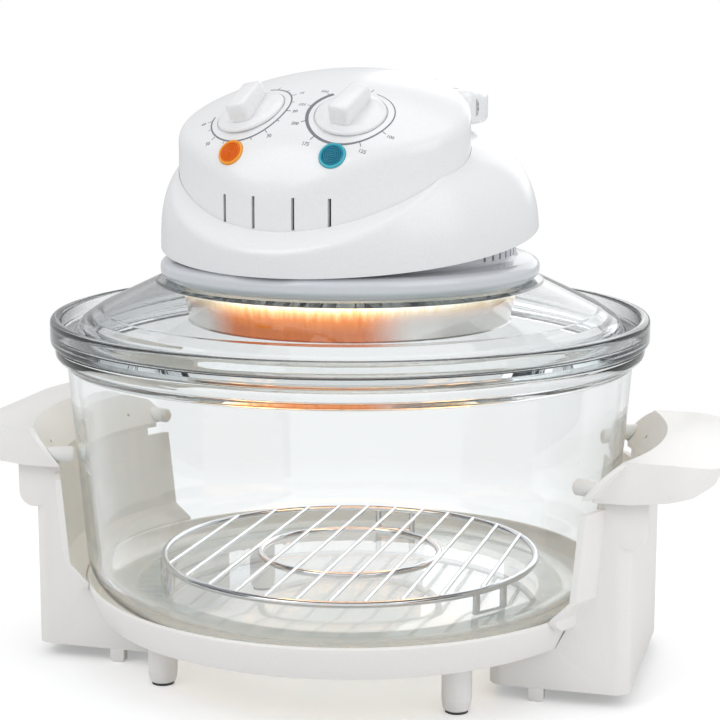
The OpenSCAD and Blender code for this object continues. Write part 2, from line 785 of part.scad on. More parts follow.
module control_panel() {
    color("white") on_head() difference() {
        union() {
            difference() {
                panel_solid(0);
                arm_room(0);
                difference() {
                    panel_solid(shell_t);
                    arm_room(shell_t);
                }
            }
            intersection() {
                panel_solid(0);
                for (s = [-1, 1]) on_crown(s * dial_x, -dial_y) translate([0, 0, -dial_boss_t])
                    cylinder(r = dial_boss_r, h = dial_boss_t);
            }
            for (s = [-1, 1]) translate([s * boss_in, pivot_y, pivot_z]) rotate([0, s * 90, 0])
                cylinder(r = boss_r, h = bow_in - boss_in - seat);
        }
        for (s = [-1, 1]) on_crown(s * dial_x, -dial_y) {
            translate([0, 0, -dial_recess]) cylinder(r = knob_r + 0.8, h = 20);
            translate([0, 0, -30]) cylinder(r = unit_neck_r + run, h = 40, $fn = 48);
        }
        for (s = [-1, 1]) on_crown(s * dial_x, -lens_y) translate([0, 0, -12])
            cylinder(r = lens_r + 0.1, h = 20, $fn = 64);
        for (x = [-31, -11.7, 11.7, 31]) translate([x - slot_w / 2, -deck_y - 2, deck_z + 2])
            cube([slot_w, 12 + x * x / 120, 17]);
        for (s = [-1, 1]) translate([s * (boss_in - 6), pivot_y, pivot_z]) rotate([0, s * 90, 0])
            cylinder(r = pin_r, h = 60, $fn = 48);
    }
}

module insulation_disc() {
    color("beige") on_head() translate([0, 0, plate_z + 0.1]) difference() {
        cylinder(r = spigot_r - 2.7, h = spigot_h - 0.4);
        translate([0, 0, -eps]) cylinder(r = 14, h = spigot_h + 2 * eps);
        for (a = [45:90:315]) rotate([0, 0, a]) translate([post_at, 0, -eps])
            cylinder(r = 2.4, h = 20, $fn = 24);
        for (s = [-1, 1]) rotate([0, 0, 90 + s * lamp_gap]) translate([lamp_r, 0, -eps])
            cylinder(r = 3.4, h = 20, $fn = 32);
    }
}

module reflector() {
    t = 0.8;
    low = reflector_r - 4;
    color("silver") on_head() difference() {
        translate([0, 0, plate_z]) rotate_extrude($fn = 128) polygon([
            [8, 0], [reflector_r - 1, 0], [reflector_r, -1], [low, -reflector_h + 0.8],
            [low + 1, -reflector_h], [low - t, -reflector_h], [reflector_r - t - 0.6, -1.6],
            [reflector_r - 2, -t], [30, -t], [26, -3], [12, -3], [12, -t - 1.2], [8, -t - 1.2]]);
        for (a = [45:90:315]) rotate([0, 0, a]) translate([post_at, 0, plate_z - 2])
            cylinder(r = 1.6, h = 4, $fn = 24);
        for (s = [-1, 1]) rotate([0, 0, 90 + s * lamp_gap]) translate([lamp_r, 0, plate_z - 2])
            cylinder(r = 3.1, h = 4, $fn = 32);
    }
}

// Ring lamp with two end caps that turn up through the reflector
module halogen_lamp() {
    gap = lamp_gap;
    color("ivory") on_head() translate([0, 0, lamp_z]) union() {
        rotate([0, 0, 90 + gap]) rotate_extrude(angle = 360 - 2 * gap) translate([lamp_r, 0])
            circle(lamp_tube_r, $fn = 32);
        for (s = [-1, 1]) rotate([0, 0, 90 + s * gap]) translate([lamp_r, 0, 0]) {
            sphere(lamp_tube_r + 0.8, $fn = 32);
            cylinder(r = 3, h = plate_z - lamp_z + 3, $fn = 32);
        }
    }
}

module lamp_clips() {
    color("silver") on_head() for (a = [150, 270, 30]) rotate([0, 0, a])
        translate([lamp_r, -3, lamp_z]) union() {
            translate([-lamp_tube_r - 1.4, 0, 0]) cube([1.2, 6, plate_z - lamp_z - 0.8]);
            translate([lamp_tube_r + 0.2, 0, 0]) cube([1.2, 6, plate_z - lamp_z - 0.8]);
            translate([-lamp_tube_r - 1.4, 0, plate_z - lamp_z - 2])
                cube([2 * lamp_tube_r + 2.8, 6, 1.2]);
        }
}

module fan_guard() {
    r = 1;
    guard_in = 10;
    guard_step = 17;
    edge = reflector_r - 4 - 0.8 - r - 0.4;
    color("silver") on_head() translate([0, 0, guard_z]) union() {
        for (ring = [guard_in:guard_step:edge - 8]) rotate_extrude() translate([ring, 0])
            circle(r, $fn = 16);
        rotate_extrude() translate([edge, 0]) circle(r, $fn = 16);
        for (a = [0:45:315]) rotate([0, 0, a + 22.5]) translate([guard_in, 0, 0]) rotate([0, 90, 0])
            cylinder(r = r, h = edge - guard_in, $fn = 16);
    }
}

module motor_bracket() {
    color("silver") on_head() difference() {
        union() {
            translate([0, 0, motor_z - bracket_t]) cylinder(r = bracket_r, h = bracket_t);
            for (a = [0:120:240]) rotate([0, 0, a + 30]) translate([post_r, 0, floor_t])
                cylinder(r = 3.6, h = motor_z - floor_t - bracket_t / 2, $fn = 32);
        }
        translate([0, 0, motor_z - bracket_t - eps]) cylinder(r = shaft_r + 3, h = bracket_t + 2 * eps);
    }
}

module motor() {
    color("gray") on_head() translate([0, 0, motor_z]) difference() {
        union() {
            rotate_extrude() polygon([[0, 0], [motor_r - 2, 0], [motor_r, 2], [motor_r, 9],
                [motor_r - 3, 10], [motor_r - 3, motor_h - 10], [motor_r, motor_h - 9],
                [motor_r, motor_h - 2], [motor_r - 2, motor_h], [0, motor_h]]);
            translate([0, 0, motor_h]) cylinder(r = 8, h = 4, $fn = 48);
        }
        translate([0, 0, -eps]) cylinder(r = shaft_r + run, h = motor_h + 4 + 2 * eps, $fn = 48);
    }
}

// Timer or thermostat behind the panel, drawn on the dial's own axis
module dial_unit() {
    top = -dial_boss_t;
    difference() {
        union() {
            translate([-unit_w / 2, -unit_w / 2, top - unit_h]) cube([unit_w, unit_w, unit_h]);
            translate([0, 0, top - unit_h / 2])
                cylinder(r = unit_neck_r, h = unit_h / 2 + dial_boss_t - dial_recess);
            for (x = [-1, 1]) translate([x * unit_w / 3 - 3, -unit_w / 2 - 3, top - unit_h + 4])
                cube([6, 4, 1]);
        }
        translate([0, 0, top - unit_h + 3]) cylinder(r = dial_shaft_r + run, h = 60, $fn = 48);
    }
}

module timer_unit() { color("dimgray") on_head() on_crown(-dial_x, -dial_y) dial_unit(); }
module thermostat_unit() { color("gray") on_head() on_crown(dial_x, -dial_y) dial_unit(); }

module sensor_bulb() {
    color("peru") on_head() translate([74, -24, plate_z - 0.8 - 3]) rotate([90, 0, 0]) union() {
        cylinder(r = 2.6, h = 30, center = true, $fn = 32);
        for (z = [-10, 10]) translate([-3.4, 0, z - 2]) cube([6.8, 3, 4]);
    }
}

// Ribbed lamp lens, drawn on its own axis
module lens() {
    difference() {
        union() {
            translate([0, 0, -5]) cylinder(r = lens_r, h = 5.4, $fn = 64);
            translate([0, 0, -5]) cylinder(r = lens_r - 1.4, h = 6, $fn = 64);
        }
        translate([0, 0, -5 - eps]) cylinder(r = lens_r - 2.4, h = 3.4 + eps, $fn = 64);
    }
}

module power_lens() { color("darkorange") on_head() on_crown(-dial_x, -lens_y) lens(); }
module heat_lens() { color("teal") on_head() on_crown(dial_x, -lens_y) lens(); }

module lens_lamps() {
    color("khaki") on_head() for (s = [-1, 1]) on_crown(s * dial_x, -lens_y) translate([0, 0, -13]) {
        cylinder(r = 2.6, h = 11.2, $fn = 32);
        cylinder(r = lens_r - 2.6, h = 8, $fn = 32);
    }
}

// Interlock switch under a flat boss of the housing, pressed by the handle's arm
module safety_switch() {
    color("black") on_head() difference() {
        translate([switch_x - switch_w / 2, switch_y - 4, switch_z - 14]) cube([switch_w, 8, 14]);
        translate([switch_x, switch_y, switch_z - 9]) cylinder(r = plunger_r + run, h = 20, $fn = 32);
    }
}

module switch_plunger() {
    top = pivot_z - bow_h / 2 - seat;
    color("red") on_head() translate([switch_x, switch_y, switch_z - 8])
        cylinder(r = plunger_r, h = top - switch_z + 8, $fn = 32);
}

module terminal_block() {
    color("ivory") on_head() difference() {
        translate([-18, 60, floor_t]) cube([36, 14, 12]);
        for (x = [-12, 0, 12]) translate([x, 67, floor_t + 4]) cylinder(r = 2.4, h = 20, $fn = 32);
    }
}

// Gland where the mains lead enters at the back
module cord_inlet() {
    color("dimgray") on_head() translate([0, inlet_y, inlet_z]) rotate([-90, 0, 0]) difference() {
        union() {
            translate([0, 0, -14]) cylinder(r = inlet_r, h = 15);
            cylinder(r = inlet_r + 2, h = 2);
            cylinder(r = inlet_r - 1, h = 5);
        }
        translate([0, 0, -14 - eps]) cylinder(r = cord_r, h = 30, $fn = 48);
    }
}

module handle_pins() {
    color("silver") on_head() for (s = [-1, 1]) translate([s * boss_in, pivot_y, pivot_z])
        rotate([0, s * 90, 0]) cylinder(r = pin_r - 0.02, h = bow_r - 4 - boss_in, $fn = 48);
}

module head_screws() {
    color("silver") on_head() for (a = [45:90:315]) rotate([0, 0, a])
        translate([post_at, 0, plate_z - 0.8]) screw_up(1.3, waist_h + spigot_h);
}

// ---- Fan ----

module fan_shaft() {
    low = fan_z - fan_nut_h - 0.4;
    color("silver") on_head() translate([0, 0, low])
        cylinder(r = shaft_r, h = motor_z + motor_h + 8 - low, $fn = 48);
}

// Pressed fan with upright blades on a disc
module blade_fan(r, h, hub_r) {
    difference() {
        union() {
            cylinder(r = r, h = 1);
            cylinder(r = hub_r, h = h);
            for (i = [0:blade_count - 1]) rotate([0, 0, i * 360 / blade_count])
                translate([hub_r - 1, -0.5, 0]) rotate([0, 0, 12]) cube([r - hub_r - 3, 1, h]);
        }
        translate([0, 0, -eps]) cylinder(r = shaft_r + 0.02, h = h + 2 * eps, $fn = 48);
    }
}

module circulation_fan() { color("gainsboro") on_head() translate([0, 0, fan_z]) blade_fan(fan_r, 10, 8); }
module cooling_fan() { color("gray") on_head() translate([0, 0, cool_z]) blade_fan(post_r - 6, 11, 8); }

module fan_nut() {
    color("silver") on_head() translate([0, 0, fan_z - fan_nut_h]) difference() {
        cylinder(r = 6, h = fan_nut_h, $fn = 6);
        translate([0, 0, -eps]) cylinder(r = shaft_r + 0.02, h = fan_nut_h + 2 * eps, $fn = 48);
    }
}

// ---- Carrying handle, knobs ----

// D-shaped bow with straight arms, pivoted at its arms' round ends
module carrying_handle() {
    half = bow_h / 2;
    color("white") on_head() difference() {
        union() {
            translate([0, bow_y, pivot_z - half]) linear_extrude(bow_h) intersection() {
                difference() {
                    circle(bow_r);
                    circle(bow_in);
                }
                translate([-bow_r - eps, 0]) square([2 * bow_r + 2 * eps, bow_r + eps]);
            }
            for (s = [-1, 1]) translate([s * (bow_in + bow_w / 2), pivot_y, pivot_z]) {
                rotate([0, 90, 0]) cylinder(r = half, h = bow_w, center = true);
                translate([-bow_w / 2, 0, -half]) cube([bow_w, bow_y - pivot_y, bow_h]);
            }
        }
        for (s = [-1, 1]) translate([s * (bow_in - eps), pivot_y, pivot_z]) rotate([0, s * 90, 0])
            cylinder(r = pin_r + run, h = bow_w - 3 + eps, $fn = 48);
    }
}

// Knob with a round skirt and a bar grip, drawn on the dial's own axis
module knob() {
    base = knob_gap - dial_recess;
    difference() {
        union() {
            translate([0, 0, base]) rotate_extrude() polygon([[0, 0], [knob_r, 0], [knob_r, 1.6],
                [knob_r - 1, 2.8], [knob_r - 4, skirt_h], [0, skirt_h + 0.6]]);
            translate([0, 0, base]) linear_extrude(skirt_h + knob_bar_h) intersection() {
                square([bar_w, 2 * knob_r], center = true);
                circle(knob_r - 4.5);
            }
        }
        translate([0, 0, base - eps]) cylinder(r = dial_shaft_r + 0.02, h = 10 + eps, $fn = 48);
    }
}

module dial_shaft() {
    low = -dial_boss_t - unit_h + 4;
    translate([0, 0, low]) cylinder(r = dial_shaft_r, h = knob_gap - dial_recess + 9 - low, $fn = 48);
}

module timer_knob() { color("white") on_head() on_crown(-dial_x, -dial_y) knob(); }
module timer_shaft() { color("silver") on_head() on_crown(-dial_x, -dial_y) dial_shaft(); }
module thermostat_knob() { color("white") on_head() on_crown(dial_x, -dial_y) knob(); }
module thermostat_shaft() { color("silver") on_head() on_crown(dial_x, -dial_y) dial_shaft(); }

base_ring();
left_leg();
right_leg();
left_handle();
right_handle();
ring_feet();
leg_feet();
foot_pads();
bowl_bumpers();
stand_screws();
glass_bowl();
low_rack();
glass_lid();
lid_seal();
head_base();
head_housing();
control_panel();
insulation_disc();
reflector();
halogen_lamp();
lamp_clips();
fan_guard();
motor_bracket();
motor();
timer_unit();
thermostat_unit();
sensor_bulb();
power_lens();
heat_lens();
lens_lamps();
safety_switch();
terminal_block();
cord_inlet();
handle_pins();
head_screws();
fan_shaft();
circulation_fan();
cooling_fan();
fan_nut();
carrying_handle();
timer_knob();
timer_shaft();
thermostat_knob();
thermostat_shaft();
switch_plunger();
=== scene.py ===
"""Looks of the halogen oven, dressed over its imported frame.

Every finished piece stands in the row frame, in metres. Sizes inside the classes are in
millimetres, as a maker would read them off a drawing. The head's pieces are drawn on the head's
own axes and then turned into place.
"""

import json
import logging
import math
from bisect import bisect_right
from dataclasses import dataclass, field
from enum import Enum
from typing import Any, Callable, Iterable, Sequence

import bpy
from mathutils import Matrix, Vector


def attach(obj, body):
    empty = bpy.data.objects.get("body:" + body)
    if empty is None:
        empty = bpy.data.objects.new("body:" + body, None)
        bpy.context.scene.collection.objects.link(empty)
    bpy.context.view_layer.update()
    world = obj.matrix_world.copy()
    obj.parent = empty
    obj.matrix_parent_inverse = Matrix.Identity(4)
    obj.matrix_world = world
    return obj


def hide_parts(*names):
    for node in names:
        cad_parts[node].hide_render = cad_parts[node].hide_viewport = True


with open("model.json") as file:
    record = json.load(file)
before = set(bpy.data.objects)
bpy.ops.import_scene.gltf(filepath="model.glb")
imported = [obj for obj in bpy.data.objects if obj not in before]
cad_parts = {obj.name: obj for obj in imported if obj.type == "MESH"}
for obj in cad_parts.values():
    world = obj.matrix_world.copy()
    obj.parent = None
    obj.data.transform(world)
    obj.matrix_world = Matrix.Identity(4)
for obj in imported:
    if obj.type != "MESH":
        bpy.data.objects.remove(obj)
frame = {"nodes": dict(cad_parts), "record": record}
LOG = logging.getLogger("halogen_oven")
MM = 0.001
Point2 = tuple[float, float]
Point3 = tuple[float, float, float]
Piece = bpy.types.Object
Tree = bpy.types.NodeTree
Socket = bpy.types.NodeSocket


# ---------------------------------------------------------------- small tools


def hex_linear(code: str, alpha: float = 1.0) -> tuple[float, float, float, float]:
    """Turns a colour from sRGB hex to linear light.

    Args:
        code: Six hex digits, with or without a leading #.
        alpha: The fourth value.

    Returns:
        Red, green, blue and alpha for a shader socket.
    """
    digits = code.lstrip("#")
    parts = [int(digits[i : i + 2], 16) / 255 for i in (0, 2, 4)]
    red, green, blue = [c / 12.92 if c <= 0.04045 else ((c + 0.055) / 1.055) ** 2.4 for c in parts]
    return red, green, blue, alpha


def add_node(
    tree: Tree, kind: str, inputs: dict[str, Any] | None = None, **settings: Any
) -> bpy.types.Node:
    """Adds one shader node, sets it and links it.

    Args:
        tree: The node tree that takes the node.
        kind: Blender's name of the node type, without its ShaderNode.
        inputs: Socket name or index to a value, or to the socket or node that feeds it.
        **settings: Attributes of the node itself.

    Returns:
        The new node.
    """
    node = tree.nodes.new(f"ShaderNode{kind}")
    for key, value in settings.items():
        setattr(node, key, value)
    for key, value in (inputs or {}).items():
        socket = node.inputs[int(key)] if key.isdigit() else node.inputs[key]
        if isinstance(value, bpy.types.Node):
            value = value.outputs[0]
        if isinstance(value, Socket):
            tree.links.new(value, socket)
        else:
            socket.default_value = value
    return node


def set_ramp(node: bpy.types.Node, stops: Sequence[tuple[float, str]]) -> None:
    """Gives a colour ramp its stops, from left to right.

    Args:
        node: The ramp node.
        stops: Position and hex colour of each stop.
    """
    ramp = node.color_ramp
    while len(ramp.elements) < len(stops):
        ramp.elements.new(0.5)
    for element, (place, code) in zip(ramp.elements, stops):
        element.position = place
        element.color = hex_linear(code)


def empty_tree(owner: bpy.types.Material | bpy.types.World) -> Tree:
    """Turns on the nodes of a material or world and clears them.

    Args:
        owner: The material or world.

    Returns:
        Its empty node tree.
    """
    owner.use_nodes = True
    owner.node_tree.nodes.clear()
    return owner.node_tree


def added(name: str, operator: Callable[..., Any], **settings: Any) -> Piece:
    """Runs an operator that adds an object, with nothing else selected.

    Args:
        name: Name of the new object and of its data.
        operator: The operator.
        **settings: The operator's own settings.

    Returns:
        The new object.
    """
    bpy.ops.object.select_all(action="DESELECT")
    operator(**settings)
    item = bpy.context.object
    item.name = item.data.name = name
    return item


def only(*pieces: Piece) -> None:
    """Selects these objects and no other.

    Args:
        *pieces: The objects, the first of which becomes the active one.
    """
    bpy.ops.object.select_all(action="DESELECT")
    for piece in pieces:
        piece.select_set(True)
    bpy.context.view_layer.objects.active = pieces[0]


def apply_modifier(piece: Piece, kind: str, **settings: Any) -> None:
    """Adds a modifier, sets it and applies it.

    Args:
        piece: The object.
        kind: Blender's name of the modifier type.
        **settings: The modifier's own settings.
    """
    only(piece)
    modifier = piece.modifiers.new(kind.title(), kind)
    for key, value in settings.items():
        setattr(modifier, key, value)
    bpy.ops.object.modifier_apply(modifier=modifier.name)


def edit_all(piece: Piece, *steps: tuple[Callable[..., Any], dict[str, Any]]) -> None:
    """Runs mesh operators on all of a piece in edit mode.

    Args:
        piece: The object.
        *steps: Operator and its settings, in order.
    """
    only(piece)
    bpy.ops.object.mode_set(mode="EDIT")
    bpy.ops.mesh.select_all(action="SELECT")
    for operator, settings in steps:
        operator(**settings)
    bpy.ops.object.mode_set(mode="OBJECT")


def merge(piece: Piece, gap: float = 1e-6) -> None:
    """Welds doubled points and turns all faces outwards.

    Args:
        piece: The object.
        gap: Points nearer than this are welded, in metres.
    """
    edit_all(
        piece,
        (bpy.ops.mesh.remove_doubles, {"threshold": gap}),
        (bpy.ops.mesh.normals_make_consistent, {"inside": False}),
    )


def shade(piece: Piece, angle: float = 30.0) -> None:
    """Shades smooth, with edges sharper than an angle in degrees kept."""
    only(piece)
    bpy.ops.object.shade_smooth_by_angle(angle=math.radians(angle))


def bevel(piece: Piece, width: float, segments: int = 3, angle: float = 30.0) -> None:
    """Rounds the edges of a piece.

    Args:
        piece: The object.
        width: Width of the rounding in millimetres.
        segments: Faces across the rounding.
        angle: Edges sharper than this many degrees are rounded.
    """
    apply_modifier(
        piece,
        "BEVEL",
        width=width * MM,
        segments=segments,
        limit_method="ANGLE",
        angle_limit=math.radians(angle),
        use_clamp_overlap=True,
        harden_normals=False,
        miter_outer="MITER_ARC",
    )


def carve(piece: Piece, cutter: Piece, how: str = "DIFFERENCE") -> None:
    """Cuts or joins one solid with another and removes the second."""
    apply_modifier(piece, "BOOLEAN", operation=how, object=cutter, solver="EXACT")
    bpy.data.objects.remove(cutter)


def rounded_profile(points: Sequence[Point3], steps: int = 5) -> list[Point2]:
    """Rounds the corners of a closed outline.

    Args:
        points: Two coordinates and a corner radius each, in millimetres.
        steps: Chords in each rounding.

    Returns:
        The outline with its corners rounded.
    """
    out: list[Point2] = []
    count = len(points)
    for i, (x, y, radius) in enumerate(points):
        here = Vector((x, y))
        before = Vector(points[i - 1][:2]) - here
        after = Vector(points[(i + 1) % count][:2]) - here
        if radius <= 0 or before.length < 1e-6 or after.length < 1e-6:
            out.append((x, y))
            continue
        half = before.angle(after) / 2
        reach = min(radius / max(math.tan(half), 1e-6), 0.49 * before.length, 0.49 * after.length)
        start, end = here + before.normalized() * reach, here + after.normalized() * reach
        for k in range(steps + 1):
            t = k / steps
            spot = start * (1 - t) ** 2 + here * 2 * t * (1 - t) + end * t * t
            out.append((spot.x, spot.y))
    return out


def turned(name: str, outline: Sequence[Point2], steps: int = 96) -> Piece:
    """Spins a closed outline of radius and height about the Z axis.

    Args:
        name: Name of the piece.
        outline: Radius and height of each point, in millimetres.
        steps: Chords in the turn.

    Returns:
        The turned piece.
    """
    circle = bpy.ops.mesh.primitive_circle_add
    piece = added(name, circle, vertices=len(outline), fill_type="NOTHING")
    for vertex, (radius, height) in zip(piece.data.vertices, outline):
        vertex.co = (radius * MM, 0.0, height * MM)
    turn = {"steps": steps, "angle": math.radians(360.0), "center": (0, 0, 0), "axis": (0, 0, 1)}
    edit_all(piece, (bpy.ops.mesh.spin, turn))
    merge(piece)
    shade(piece)
    return piece


def laid_grid(
    name: str, across: int, along: int, place: Callable[[float, float], Point3]
) -> Piece:
    """Lays a grid over a curved surface.

    Args:
        name: Name of the piece.
        across: Cells in the first direction.
        along: Cells in the second direction.
        place: Gives the point in millimetres for two numbers from 0 to 1.

    Returns:
        The surface, with its matching edges welded.
    """
    cells = {"x_subdivisions": across, "y_subdivisions": along}
    piece = added(name, bpy.ops.mesh.primitive_grid_add, size=2, **cells)
    for vertex in piece.data.vertices:
        x, y, z = place((vertex.co.x + 1) / 2, (vertex.co.y + 1) / 2)
        vertex.co = (x * MM, y * MM, z * MM)
    merge(piece)
    return piece


def laid_round(
    name: str, around: int, along: int, row: Callable[[float], list[Point2]], middle_y: float = 0.0
) -> Piece:
    """Lays a skin around an upright axis.

    Args:
        name: Name of the piece.
        around: Cells around the axis.
        along: Cells along each row.
        row: Gives distance and height of a row's points, for an angle in radians.
        middle_y: Place of the axis in mm.

    Returns:
        The skin.
    """
    turns = [2 * math.pi * step / around for step in range(around)]
    rows = [row(angle) for angle in turns]

    def place(u: float, v: float) -> Point3:
        """Places a point of the skin.

        Args:
            u: Part of the way around.
            v: Part of the way along its row.

        Returns:
            The point in mm.
        """
        step = round(u * around) % around
        distance, height = rows[step][round(v * along)]
        side, fore = math.cos(turns[step]), math.sin(turns[step])
        return distance * side, distance * fore + middle_y, height

    return laid_grid(name, around, along, place)


def softened(name: str, node: str, width: float, segments: int = 3) -> Piece:
    """Copies a frame piece, welds it and rounds its edges.

    Args:
        name: Name of the new piece.
        node: Name of the frame's piece.
        width: Width of the rounding in millimetres.
        segments: Faces across the rounding.

    Returns:
        The rounded copy.
    """
    source = frame["nodes"][node]
    piece = bpy.data.objects.new(name, source.data.copy())
    bpy.context.collection.objects.link(piece)
    piece.data.materials.clear()
    edit_all(
        piece,
        (bpy.ops.mesh.remove_doubles, {"threshold": 2e-6}),
        (bpy.ops.mesh.dissolve_limited, {"angle_limit": math.radians(0.6)}),
    )
    bevel(piece, width, segments)
    shade(piece, 40)
    return piece


# ---------------------------------------------------------------- finishes


@dataclass(frozen=True)
class Finish:
    """One material: what it is made of and how its surface was made.

    Moulded and rolled skins are uneven over a tenth of a millimetre or less. That is too fine to
    show, so grain_mm draws it several times coarser.
    """

    name: str
    colour: str
    roughness: float = 0.3
    metallic: float = 0.0
    ior: float = 1.46
    grain_mm: float = 0.6
    bump: float = 0.02
    relief_m: float = 0.0002

    def build(self) -> bpy.types.Material:
        """Makes the material's nodes.

        Returns:
            The material, made once and then shared.
        """
        known = bpy.data.materials.get(self.name)
        if known:
            return known
        material = bpy.data.materials.new(self.name)
        tree = empty_tree(material)
        out = add_node(tree, "OutputMaterial")
        shader = self.shader(tree)
        tree.links.new(shader, out.inputs["Surface"])
        depth = self.depth(tree)
        if depth:
            tree.links.new(depth, out.inputs["Volume"])
        return material

    def depth(self, tree: Tree) -> Socket | None:
        """Adds what happens to light inside the piece; nothing, for an opaque one."""
        return None

    def grain(self, tree: Tree) -> bpy.types.Node:
        """Adds the fine noise of the surface, at its real scale.

        Args:
            tree: The material's node tree.

        Returns:
            The noise node.
        """
        where = add_node(tree, "TexCoord")
        return add_node(
            tree,
            "TexNoise",
            {"Vector": where.outputs["Object"], "Scale": 1 / (self.grain_mm * MM), "Detail": 2.0},
        )

    def shader(self, tree: Tree) -> Socket:
        """Adds the shader of an opaque surface.

        Args:
            tree: The material's node tree.

        Returns:
            The shader's output.
        """
        grain = self.grain(tree)
        relief = add_node(
            tree,
            "Bump",
            {"Height": grain, "Strength": self.bump, "Distance": self.relief_m},
        )
        tint = add_node(tree, "ValToRGB", {"0": grain})
        set_ramp(tint, [(0.3, self.colour), (0.7, scaled_hex(self.colour, 0.985))])
        surface = add_node(
            tree,
            "BsdfPrincipled",
            {
                "Base Color": tint,
                "Roughness": self.roughness,
                "Metallic": self.metallic,
                "Normal": relief,
            },
        )
        if not self.metallic:
            surface.inputs["IOR"].default_value = self.ior
        return surface.outputs[0]


def scaled_hex(code: str, factor: float) -> str:
    """Scales a hex colour's values.

    Args:
        code: The colour.
        factor: The scale.

    Returns:
        The new colour.
    """
    digits = code.lstrip("#")
    parts = [min(255, round(int(digits[i : i + 2], 16) * factor)) for i in (0, 2, 4)]
    return "#%02X%02X%02X" % tuple(parts)


@dataclass(frozen=True)
class Glass(Finish):
    """Clear or tinted glass with painted shade where it is seen edge on, so its edges read darker
    than its faces.
    """

    # edge: colour of the painted shade taken on where the glass is seen edge on.
    edge: str = "#1F272D"
    painted_shade_start: float = 0.8
    inside: str = "#5A8290"
    density: float = 6.0

    def depth(self, tree: Tree) -> Socket | None:
        """Takes a little light along the way, so thick rims read darker than thin walls."""
        inputs = {"Color": hex_linear(self.inside), "Density": self.density}
        return add_node(tree, "VolumeAbsorption", inputs).outputs[0]

    def shader(self, tree: Tree) -> Socket:
        """Glass that lets lamp light through, with painted shade where it is seen edge on.

        Args:
            tree: The material's node tree.

        Returns:
            The shader's output.
        """
        # Painted shade: the colour turns to the dark edge colour as the glass is seen more edge on.
        facing = add_node(tree, "LayerWeight", {"Blend": 0.5})
        tint = add_node(tree, "ValToRGB", {"0": facing.outputs["Facing"]})
        set_ramp(tint, [(0.0, self.colour), (self.painted_shade_start, self.colour), (1.0, self.edge)])
        body = add_node(
            tree,
            "BsdfPrincipled",
            {
                "Base Color": tint,
                "Roughness": self.roughness,
                "IOR": self.ior,
                "Transmission Weight": 1.0,
            },
        )
        clear = add_node(tree, "BsdfTransparent", {"Color": hex_linear("#F2F6F6")})
        path = add_node(tree, "LightPath")
        passing = add_node(
            tree,
            "Math",
            {"0": path.outputs["Is Shadow Ray"], "1": path.outputs["Is Diffuse Ray"]},
            operation="MAXIMUM",
        )
        return add_node(tree, "MixShader", {"0": passing, "1": body, "2": clear}).outputs[0]


@dataclass(frozen=True)
class Glow(Finish):
    """A hot or lit body that gives light of its own."""

    strength: float = 3.0

    def shader(self, tree: Tree) -> Socket:
        """Adds light to the plain surface.

        Args:
            tree: The material's node tree.

        Returns:
            The shader's output.
        """
        grain = self.grain(tree)
        tint = add_node(tree, "ValToRGB", {"0": grain})
        set_ramp(tint, [(0.3, self.colour), (0.7, scaled_hex(self.colour, 0.95))])
        surface = add_node(
            tree,
            "BsdfPrincipled",
            {
                "Base Color": tint,
                "Roughness": self.roughness,
                "Emission Color": tint,
                "Emission Strength": self.strength,
            },
        )
        return surface.outputs[0]


@dataclass(frozen=True)
class PaintedGlowSteel(Finish):
    """Polished steel with the lamp's light painted on: a painted warm white glow at its top edge
    and a painted orange glow in front.
    """

    low_z: float = 0.1985
    high_z: float = 0.2125
    front_x: float = -0.004
    # The painted patch of lamp light in front: its reach across the sheet and its strength.
    painted_patch_x: Point2 = (0.03, 0.062)
    painted_front_glow: float = 0.75
    painted_top_glow: float = 1.1
    streak: float = 0.1
    ragged: float = 0.5

    def shader(self, tree: Tree) -> Socket:
        """Paints the lamp's glow onto bare steel, by height and by distance from the front.

        Args:
            tree: The material's node tree.

        Returns:
            The shader's output.
        """
        where = add_node(tree, "TexCoord")
        axes = add_node(tree, "SeparateXYZ", {"0": where.outputs["Object"]})
        stretch = {"Vector": where.outputs["Object"], "Scale": (1.0, 1.0, self.streak)}
        streaks = add_node(tree, "Mapping", stretch)
        grain = add_node(
            tree,
            "TexNoise",
            {"Vector": streaks, "Scale": 1 / (self.grain_mm * MM), "Detail": 3.0},
        )
        rise = add_node(
            tree,
            "MapRange",
            {"Value": axes.outputs[2], "From Min": self.low_z, "From Max": self.high_z},
        )
        ragged = add_node(
            tree,
            "Math",
            {"0": grain, "1": self.ragged, "2": -self.ragged / 2},
            operation="MULTIPLY_ADD",
        )
        sums = {"0": rise, "1": ragged}
        height = add_node(tree, "Math", sums, operation="ADD")
        tint = add_node(tree, "ValToRGB", {"0": height})
        # Painted glow colours, from dark orange low on the sheet to warm white at its top edge.
        set_ramp(tint, [(0.0, "#8A4A1C"), (0.5, "#DE8128"), (0.8, "#FFD98F"), (1.0, "#FFF6E2")])
        offset = {"0": axes, "1": -self.front_x}
        aside = add_node(tree, "Math", offset, operation="ADD")
        away = add_node(tree, "Math", {"0": aside}, operation="ABSOLUTE")
        near, far = self.painted_patch_x
        front = add_node(
            tree,
            "MapRange",
            {
                "Value": away,
                "From Min": near,
                "From Max": far,
                "To Min": self.painted_front_glow,
                "To Max": 0.0,
            },
            interpolation_type="SMOOTHSTEP",
        )
        # Painted glow strength: strong at the top edge, plus the painted patch of lamp light in
        # front.
        top = add_node(tree, "Math", {"0": rise, "1": 3.0}, operation="POWER")
        painted_glow = add_node(
            tree,
            "Math",
            {"0": top, "1": self.painted_top_glow, "2": front},
            operation="MULTIPLY_ADD",
        )
        # Painted orange reflection: the steel's colour turns orange in front, where the lamp's
        # light falls.
        base = add_node(tree, "ValToRGB", {"0": front})
        set_ramp(base, [(0.0, self.colour), (0.7, "#B5602A")])
        surface = add_node(
            tree,
            "BsdfPrincipled",
            {
                "Base Color": base,
                "Roughness": self.roughness,
                "Metallic": self.metallic,
                "Emission Color": tint,
                "Emission Strength": painted_glow,
            },
        )
        return surface.outputs[0]


